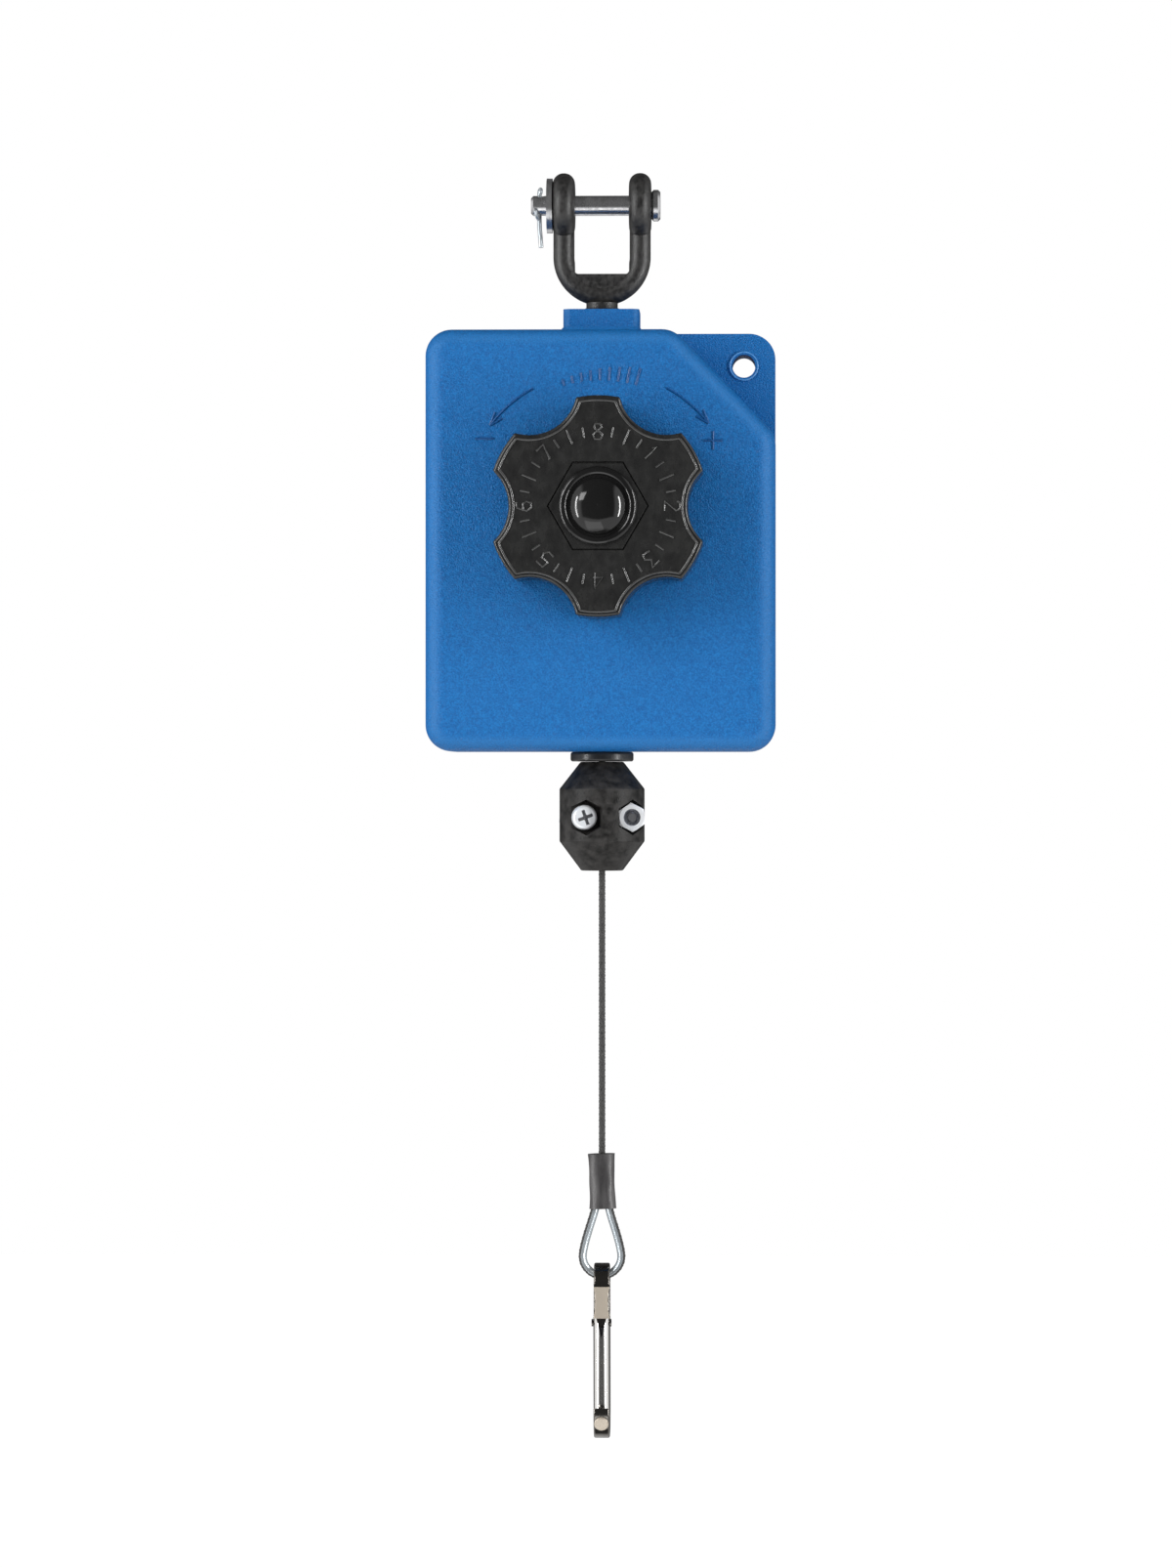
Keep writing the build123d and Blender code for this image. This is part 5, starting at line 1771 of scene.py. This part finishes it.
@dataclass
class KnobDressing:
    """The lobed tension knob with its hub, cap, spring and a ring of plain marks."""

    paints: Paints
    face_y: float = -49.0 * MM
    arbor_z: float = -97.6 * MM
    # Marks
    mark_r: float = 23.0 * MM
    stroke_r: float = 0.36 * MM
    digit_w: float = 3.0 * MM
    digit_h: float = 4.8 * MM
    number_pitch: float = 45.0
    ticks: tuple[tuple[float, float], ...] = ((11.25, 0.32), (22.5, 0.5), (33.75, 0.32))
    # Rim
    rim_r: float = 0.4 * MM
    rim_from: float = 19.0 * MM
    face_depth: float = 0.02 * MM

    def on_face(self, angle: float, across: float, out: float) -> Point:
        """A point on the knob's face, beside a place on the ring of marks.

        Args:
            angle: the place's clock angle.
            across: how far the point lies clockwise of it.
            out: how far the point lies outwards of it.

        Returns:
            The point.
        """
        radius = self.mark_r + out
        x = radius * math.sin(angle) + across * math.cos(angle)
        z = radius * math.cos(angle) - across * math.sin(angle)
        return (x, self.face_y, self.arbor_z + z)

    def marks(self) -> Piece:
        """Raised plain numbers from 1 to 8 round the knob's face, with ticks between them.

        Returns:
            The marks as one piece.
        """
        parts = []
        for number, lines in enumerate(DIGITS, start=1):
            angle = math.radians(self.number_pitch * number)
            for line in lines:
                points = [self.on_face(angle, x * self.digit_w, z * self.digit_h) for x, z in line]
                parts.append(stroke("number", points, self.stroke_r))
            for turn, share in self.ticks:
                reach = share * self.digit_h
                ends = [self.on_face(angle + math.radians(turn), 0.0, out) for out in (-reach, reach)]
                parts.append(stroke("tick", ends, self.stroke_r))
        return smooth(join(parts, "knob_marks"), 60.0)

    def from_axis(self, point: Vector) -> float:
        """A point's distance from the arbor's middle line."""
        return math.hypot(point.x, point.z - self.arbor_z)

    def outline(self, knob: Piece) -> list[Point]:
        """The outer outline of the knob's raised face.

        Args:
            knob: the CAD knob.

        Returns:
            The outline's points in order.
        """
        mesh = bmesh.new()
        mesh.from_mesh(knob.data)
        bmesh.ops.remove_doubles(mesh, verts=mesh.verts, dist=SAME_PLACE)
        flat = {f for f in mesh.faces if abs(f.calc_center_median().y - self.face_y) < self.face_depth}
        edges = [e for e in mesh.edges if sum(f in flat for f in e.link_faces) == 1]
        links: dict[int, list[int]] = {}
        for edge in edges:
            if all(self.from_axis(v.co) > self.rim_from for v in edge.verts):
                first, second = (v.index for v in edge.verts)
                links.setdefault(first, []).append(second)
                links.setdefault(second, []).append(first)
        mesh.verts.ensure_lookup_table()
        start = min(links)
        order = [start, links[start][0]]
        while order[-1] != start:
            before, here = order[-2], order[-1]
            order.append(next(k for k in links[here] if k != before))
        points = [tuple(mesh.verts[k].co) for k in order[:-1]]
        mesh.free()
        return points

    def rim(self, knob: Piece) -> Piece:
        """A rounded bead along the edge of the knob's raised face."""
        return smooth(stroke("knob_rim", self.outline(knob), self.rim_r, closed=True), 60.0)

    def build(self, nodes: CadNodes) -> list[Piece]:
        """Makes the spring, the marks and the rim, and paints the knob's nodes.

        Args:
            nodes: the CAD nodes.

        Returns:
            The new pieces.
        """
        self.paints.coat_nodes(nodes, Finish.KNOB, ["knob", "drive_hex"])
        self.paints.coat_nodes(nodes, Finish.CAP, ["hub_cap"])
        self.paints.coat_nodes(nodes, Finish.ZINC, ["arbor_shaft", "hub_screw"])
        coil = stretched_spring(self.paints, nodes["knob_spring"], "knob_coil", Axis.Y)
        marks, rim = self.marks(), self.rim(nodes["knob"])
        for piece in (marks, rim):
            # the rim bead and marks take the lighter black as a painted highlight
            self.paints.coat(piece, Finish.KNOB_EDGE)
            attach(piece, Body.KNOB.value)
        return [coil, marks, rim]


@dataclass
class ClevisDressing:
    """The swivel clevis with its pin, washer and split pin."""

    paints: Paints
    wire_r: float = 0.62 * MM
    leg_r: float = 0.713 * MM
    wire_x: float = -19.9 * MM
    pin_r: float = 3.35  # in millimetres, like the wire's route
    wire_sides: int = 16
    steep: float = 0.9  # a wire that starts more along Y than this is framed from X
    step: float = 0.12 * MM

    def wire(self, name: str, route: Sequence[Point], radius: float) -> Piece:
        """A smooth round wire.

        Args:
            name: the object's name.
            route: its control points in millimetres, with X from the wire's own middle.
            radius: its radius.

        Returns:
            The wire.
        """
        points = [(self.wire_x + x * MM, y * MM, z * MM) for x, y, z in route]
        line = spline_points(points, self.step)
        across = Vector((0.0, 1.0, 0.0))
        if abs(direction(line, 0).y) > self.steep:
            across = Vector((1.0, 0.0, 0.0))
        corners = round_tube(line, across, radius, self.wire_sides)
        return recalculate(mesh_from(name, corners, ring_faces(0, len(line), self.wire_sides)))

    def split_pin(self) -> Piece:
        """The wire through the clevis pin: a round eye above, one leg straight down, the other bent round.

        Returns:
            The split pin.
        """
        r = self.pin_r
        eye = [
            (0.0, 0.3, -r), (0.0, 0.3, r), (-0.1, 0.9, r + 1.4), (0.5, -0.2, r + 2.1),
            (0.5, -0.7, r + 0.9), (0.0, -0.35, r), (0.0, -0.35, 0.0), (0.0, -0.35, -r),
        ]
        leg = [(0.0, 0.3, -r + 0.4), (0.0, 0.3, -r - 3.0), (0.3, 0.2, -9.5), (0.55, 0.0, -13.2)]
        bent = [
            (0.0, -0.35, -r + 0.4), (0.0, -0.6, -r - 0.9), (-0.3, -2.2, -r - 1.0),
            (-0.9, -3.6, -r + 0.3), (-1.2, -4.1, -r + 1.6),
        ]
        parts = [self.wire("eye", eye, self.wire_r), self.wire("leg", leg, self.leg_r)]
        parts.append(self.wire("bent", bent, self.wire_r))
        piece = smooth(join(parts, "split_pin"), 60.0)
        self.paints.coat(piece, Finish.THIMBLE)
        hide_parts("cotter_pin")
        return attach(piece, Body.PIN.value)

    def build(self, nodes: CadNodes) -> list[Piece]:
        """Makes the split pin and paints the clevis and its pin.

        Args:
            nodes: the CAD nodes.

        Returns:
            The new piece.
        """
        self.paints.coat_nodes(nodes, Finish.NYLON, ["clevis_yoke"])
        self.paints.coat_nodes(nodes, Finish.PIN_STEEL, ["clevis_pin", "pin_washer"])
        self.paints.coat_nodes(nodes, Finish.ZINC, ["swivel_stud", "swivel_washer", "swivel_nut"])
        self.paints.coat_nodes(nodes, Finish.STOP, ["thrust_washer"])
        return [self.split_pin()]


@dataclass
class HookDressing:
    """The snap hook with its gate, its spring and the waisted plate above it."""

    paints: Paints
    plate_top: float = -342.4 * MM
    plate_low: float = -352.3 * MM
    plate_y: float = -7.78 * MM
    plate_half: float = 2.55 * MM
    plate_waist: float = 1.95 * MM
    plate_thick: float = 0.28 * MM
    plate_columns: int = 8
    plate_rows: int = 20
    plate_crown: float = 0.1 * MM
    plate_bevel: float = 0.09 * MM
    lip: float = 0.16 * MM
    lip_from: float = 0.86
    lean: float = -3.64

    def waisted_plate(self) -> Piece:
        """The pressed plate on the front leg, narrow at its middle and with a folded lower lip.

        Returns:
            The plate.
        """
        deselect_all()
        bpy.ops.mesh.primitive_grid_add(
            x_subdivisions=self.plate_columns, y_subdivisions=self.plate_rows, size=1.0
        )
        plate = settle(bpy.context.object)
        plate.name = "hook_plate"
        height = self.plate_top - self.plate_low
        for vertex in plate.data.vertices:
            share = vertex.co.y * 2
            half = self.plate_waist + (self.plate_half - self.plate_waist) * share * share
            lip = self.lip * max(0.0, -share - self.lip_from) / (1 - self.lip_from)
            crown = self.plate_crown * (1 - (2 * vertex.co.x) ** 2)
            vertex.co = Vector((vertex.co.x * 2 * half, -crown - lip, vertex.co.y * height))
        apply_modifier(plate, "SOLIDIFY", thickness=self.plate_thick, offset=-1.0)
        apply_modifier(plate, "BEVEL", width=self.plate_bevel, segments=2, limit_method="ANGLE")
        middle = (0.0, self.plate_y, (self.plate_top + self.plate_low) / 2)
        place_mesh(plate, Matrix.Translation(middle) @ turned(self.lean, Axis.X))
        smooth(recalculate(plate), 40.0)
        self.paints.coat(plate, Finish.PLATE)
        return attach(plate, Body.HOOK.value)

    def build(self, nodes: CadNodes) -> list[Piece]:
        """Makes the plate and the spring, and paints the hook's nodes.

        Args:
            nodes: the CAD nodes.

        Returns:
            The new pieces.
        """
        self.paints.coat_nodes(nodes, Finish.BRIGHT, ["hook_gate"])
        # The body and rivet take the dark nickel as a painted dark reflection.
        self.paints.coat_nodes(nodes, Finish.DARK_NICKEL, ["hook_body", "gate_rivet"])
        self.paints.coat_nodes(nodes, Finish.PLATE, ["nose_rivet"])
        plate = self.waisted_plate()
        return [plate, stretched_spring(self.paints, nodes["gate_spring"], "gate_wire", Axis.Z)]


# Studio


@dataclass(frozen=True)
class Lamp:
    """A soft lamp: its place, its width and height, and its power in watts."""

    name: str
    place: Point
    size: tuple[float, float]
    power: float

    def build(self, aim: Point) -> None:
        """Puts the lamp in its place.

        Args:
            aim: the point that it faces.
        """
        data = bpy.data.lights.new(self.name, "AREA")
        data.shape = "RECTANGLE"
        data.size, data.size_y = self.size
        data.energy = self.power
        obj = add_object(self.name, data)
        obj.location = self.place
        obj.rotation_euler = (Vector(aim) - Vector(self.place)).to_track_quat("-Z", "Y").to_euler()


@dataclass
class Studio:
    """Pale floor, soft lamps and the camera at the photograph's angle."""

    middle: Point = (-5.1 * MM, 0.0, -183.45 * MM)
    frame_width: float = 372.0 * MM
    sensor_width: float = 36.0
    distance: float = 1.8
    azimuth: float = 1.7
    far: float = 30.0
    aim: Point = (0.0, 0.0, -0.15)
    lamps: tuple[Lamp, ...] = (
        Lamp("left_strip", (-1.3, -0.75, -0.1), (0.12, 1.3), 13.0),
        Lamp("right_strip", (1.3, -0.75, -0.1), (0.12, 1.3), 16.0),
        Lamp("key", (-0.9, -1.1, 0.5), (0.5, 0.5), 5.0),
        Lamp("low", (-0.3, -1.0, -1.55), (1.3, 1.3), 5.0),
    )
    # What metals mirror, by the direction's own X, Y and Z
    room_level: float = 0.09
    sides: tuple[float, float] = (0.56, 0.68)
    sides_behind: tuple[float, float] = (0.2, 0.5)
    side_end: float = 0.2
    table: tuple[float, float] = (-0.36, -0.44)
    below: tuple[float, float] = (-0.86, -0.95)
    below_level: float = 0.05
    rear: tuple[float, float] = (0.2, 0.7)
    rear_level: float = 0.1
    # What lights the piece from all round
    fill_level: float = 0.52
    fill_fall: float = 0.45
    fill_ahead: tuple[float, float] = (-0.5, 0.5)
    fill_across: tuple[float, float] = (1.3, 0.7)
    fill_upward: tuple[float, float] = (0.85, 1.15)
    # Floor
    floor_z: float = -2.0
    floor_size: float = 40.0
    floor_colour: Colour = (0.9, 0.9, 0.9)
    floor_roughness: float = 0.8
    floor_white: float = 1.12
    floor_glow: float = 0.9

    def camera(self) -> None:
        """Puts the camera level in front, turned a little to the right."""
        data = bpy.data.cameras.new("camera")
        data.sensor_fit = "HORIZONTAL"
        data.sensor_width = self.sensor_width
        data.lens = self.sensor_width * self.distance / self.frame_width
        data.clip_end = self.far
        obj = add_object("camera", data)
        turn = math.radians(self.azimuth)
        away = Vector((math.sin(turn), -math.cos(turn), 0.0)) * self.distance
        obj.location = Vector(self.middle) + away
        obj.rotation_euler = (math.radians(90), 0.0, turn)
        bpy.context.scene.camera = obj

    def mirrored(self, tree: Tree, parts: dict[Axis, Socket]) -> Socket:
        """What metals mirror: white sides in front, a white table below, a dim rear and a dark front.

        Args:
            tree: the world's tree.
            parts: the direction's own values.

        Returns:
            The level's socket.
        """
        wide = math_node(tree, "ABSOLUTE", parts[Axis.X])
        aside = spread(tree, wide, *self.sides, self.room_level, 1.0)
        fade = spread(tree, parts[Axis.Y], *self.sides_behind, 1.0, self.side_end)
        table = spread(tree, parts[Axis.Z], *self.table, 0.0, 1.0)
        under = spread(tree, parts[Axis.Z], *self.below, 1.0, self.below_level)
        rear = spread(tree, parts[Axis.Y], *self.rear, 0.0, self.rear_level)
        aside, table = (math_node(tree, "MULTIPLY", *pair) for pair in ((aside, fade), (table, under)))
        return math_node(tree, "MAXIMUM", math_node(tree, "MAXIMUM", aside, table), rear)

    def fill(self, tree: Tree, parts: dict[Axis, Socket]) -> Socket:
        """What lights the piece: brighter from the left, from above and from the front.

        Args:
            tree: the world's tree.
            parts: the direction's own values.

        Returns:
            The level's socket.
        """
        across = spread(tree, parts[Axis.X], -1.0, 1.0, *self.fill_across)
        upward = spread(tree, parts[Axis.Z], -1.0, 1.0, *self.fill_upward)
        levels = (self.fill_level, self.fill_level * self.fill_fall)
        ahead = spread(tree, parts[Axis.Y], *self.fill_ahead, *levels)
        return math_node(tree, "MULTIPLY", math_node(tree, "MULTIPLY", across, upward), ahead)

    def world(self) -> None:
        """White behind the piece for the camera, and other levels for metals and for light."""
        world = bpy.data.worlds.new("studio")
        bpy.context.scene.world = world
        world.use_nodes = True
        tree = world.node_tree
        background = tree.nodes["Background"]
        rays = tree.nodes.new("ShaderNodeLightPath").outputs
        parts = split_axes(tree, tree.nodes.new("ShaderNodeTexCoord").outputs["Generated"])
        glossy = rays["Is Glossy Ray"]
        seen = math_node(tree, "MAXIMUM", rays["Is Camera Ray"], rays["Is Transmission Ray"])
        shone = math_node(tree, "MULTIPLY", glossy, self.mirrored(tree, parts))
        other = math_node(tree, "SUBTRACT", 1.0, math_node(tree, "MAXIMUM", seen, glossy))
        fill = math_node(tree, "MULTIPLY", other, self.fill(tree, parts))
        strength = math_node(tree, "ADD", math_node(tree, "MAXIMUM", seen, shone), fill)
        link(tree, strength, background.inputs["Strength"])
        background.inputs["Color"].default_value = (1.0, 1.0, 1.0, 1.0)

    def floor(self) -> None:
        """A plain pale floor far below; metals look past it to the world's own table."""
        deselect_all()
        bpy.ops.mesh.primitive_plane_add(size=self.floor_size, location=(0.0, 0.0, self.floor_z))
        floor = settle(bpy.context.object)
        floor.name = "floor"
        material, tree, shader = start_material("pale_floor")
        shader.inputs["Base Color"].default_value = (*self.floor_colour, 1.0)
        shader.inputs["Roughness"].default_value = self.floor_roughness
        white = tree.nodes.new("ShaderNodeEmission")
        white.inputs["Strength"].default_value = self.floor_white
        clear = tree.nodes.new("ShaderNodeBsdfTransparent")
        rays = tree.nodes.new("ShaderNodeLightPath").outputs
        glow = math_node(tree, "MULTIPLY", rays["Is Camera Ray"], self.floor_glow)
        surface = shader.outputs[0]
        for factor, shown in ((glow, white), (rays["Is Glossy Ray"], clear)):
            mix = tree.nodes.new("ShaderNodeMixShader")
            for source, target in zip((factor, surface, shown.outputs[0]), mix.inputs):
                link(tree, source, target)
            surface = mix.outputs[0]
        link(tree, surface, tree.nodes["Material Output"].inputs["Surface"])
        floor.data.materials.append(material)

    def build(self) -> None:
        """Sets the view transform, camera, world, floor and lamps."""
        bpy.context.scene.view_settings.view_transform = "Standard"
        self.camera()
        self.world()
        self.floor()
        for lamp in self.lamps:
            lamp.build(self.aim)


def main() -> None:
    """Builds the studio and every sub-assembly."""
    logging.basicConfig(level=logging.INFO, format="%(name)s: %(message)s")
    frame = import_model()
    nodes = frame["nodes"]
    Studio().build()
    paints = Paints()
    fasteners = Fasteners(paints)
    for dressing in (
        CordDressing(paints),
        StopDressing(paints, fasteners),
        CaseDressing(paints, fasteners),
        KnobDressing(paints),
        ClevisDressing(paints),
        HookDressing(paints),
    ):
        for piece in dressing.build(nodes):
            LOG.info("%s: %d faces", piece.name, len(piece.data.polygons))
    deselect_all()


if __name__ == "__main__":
    main()
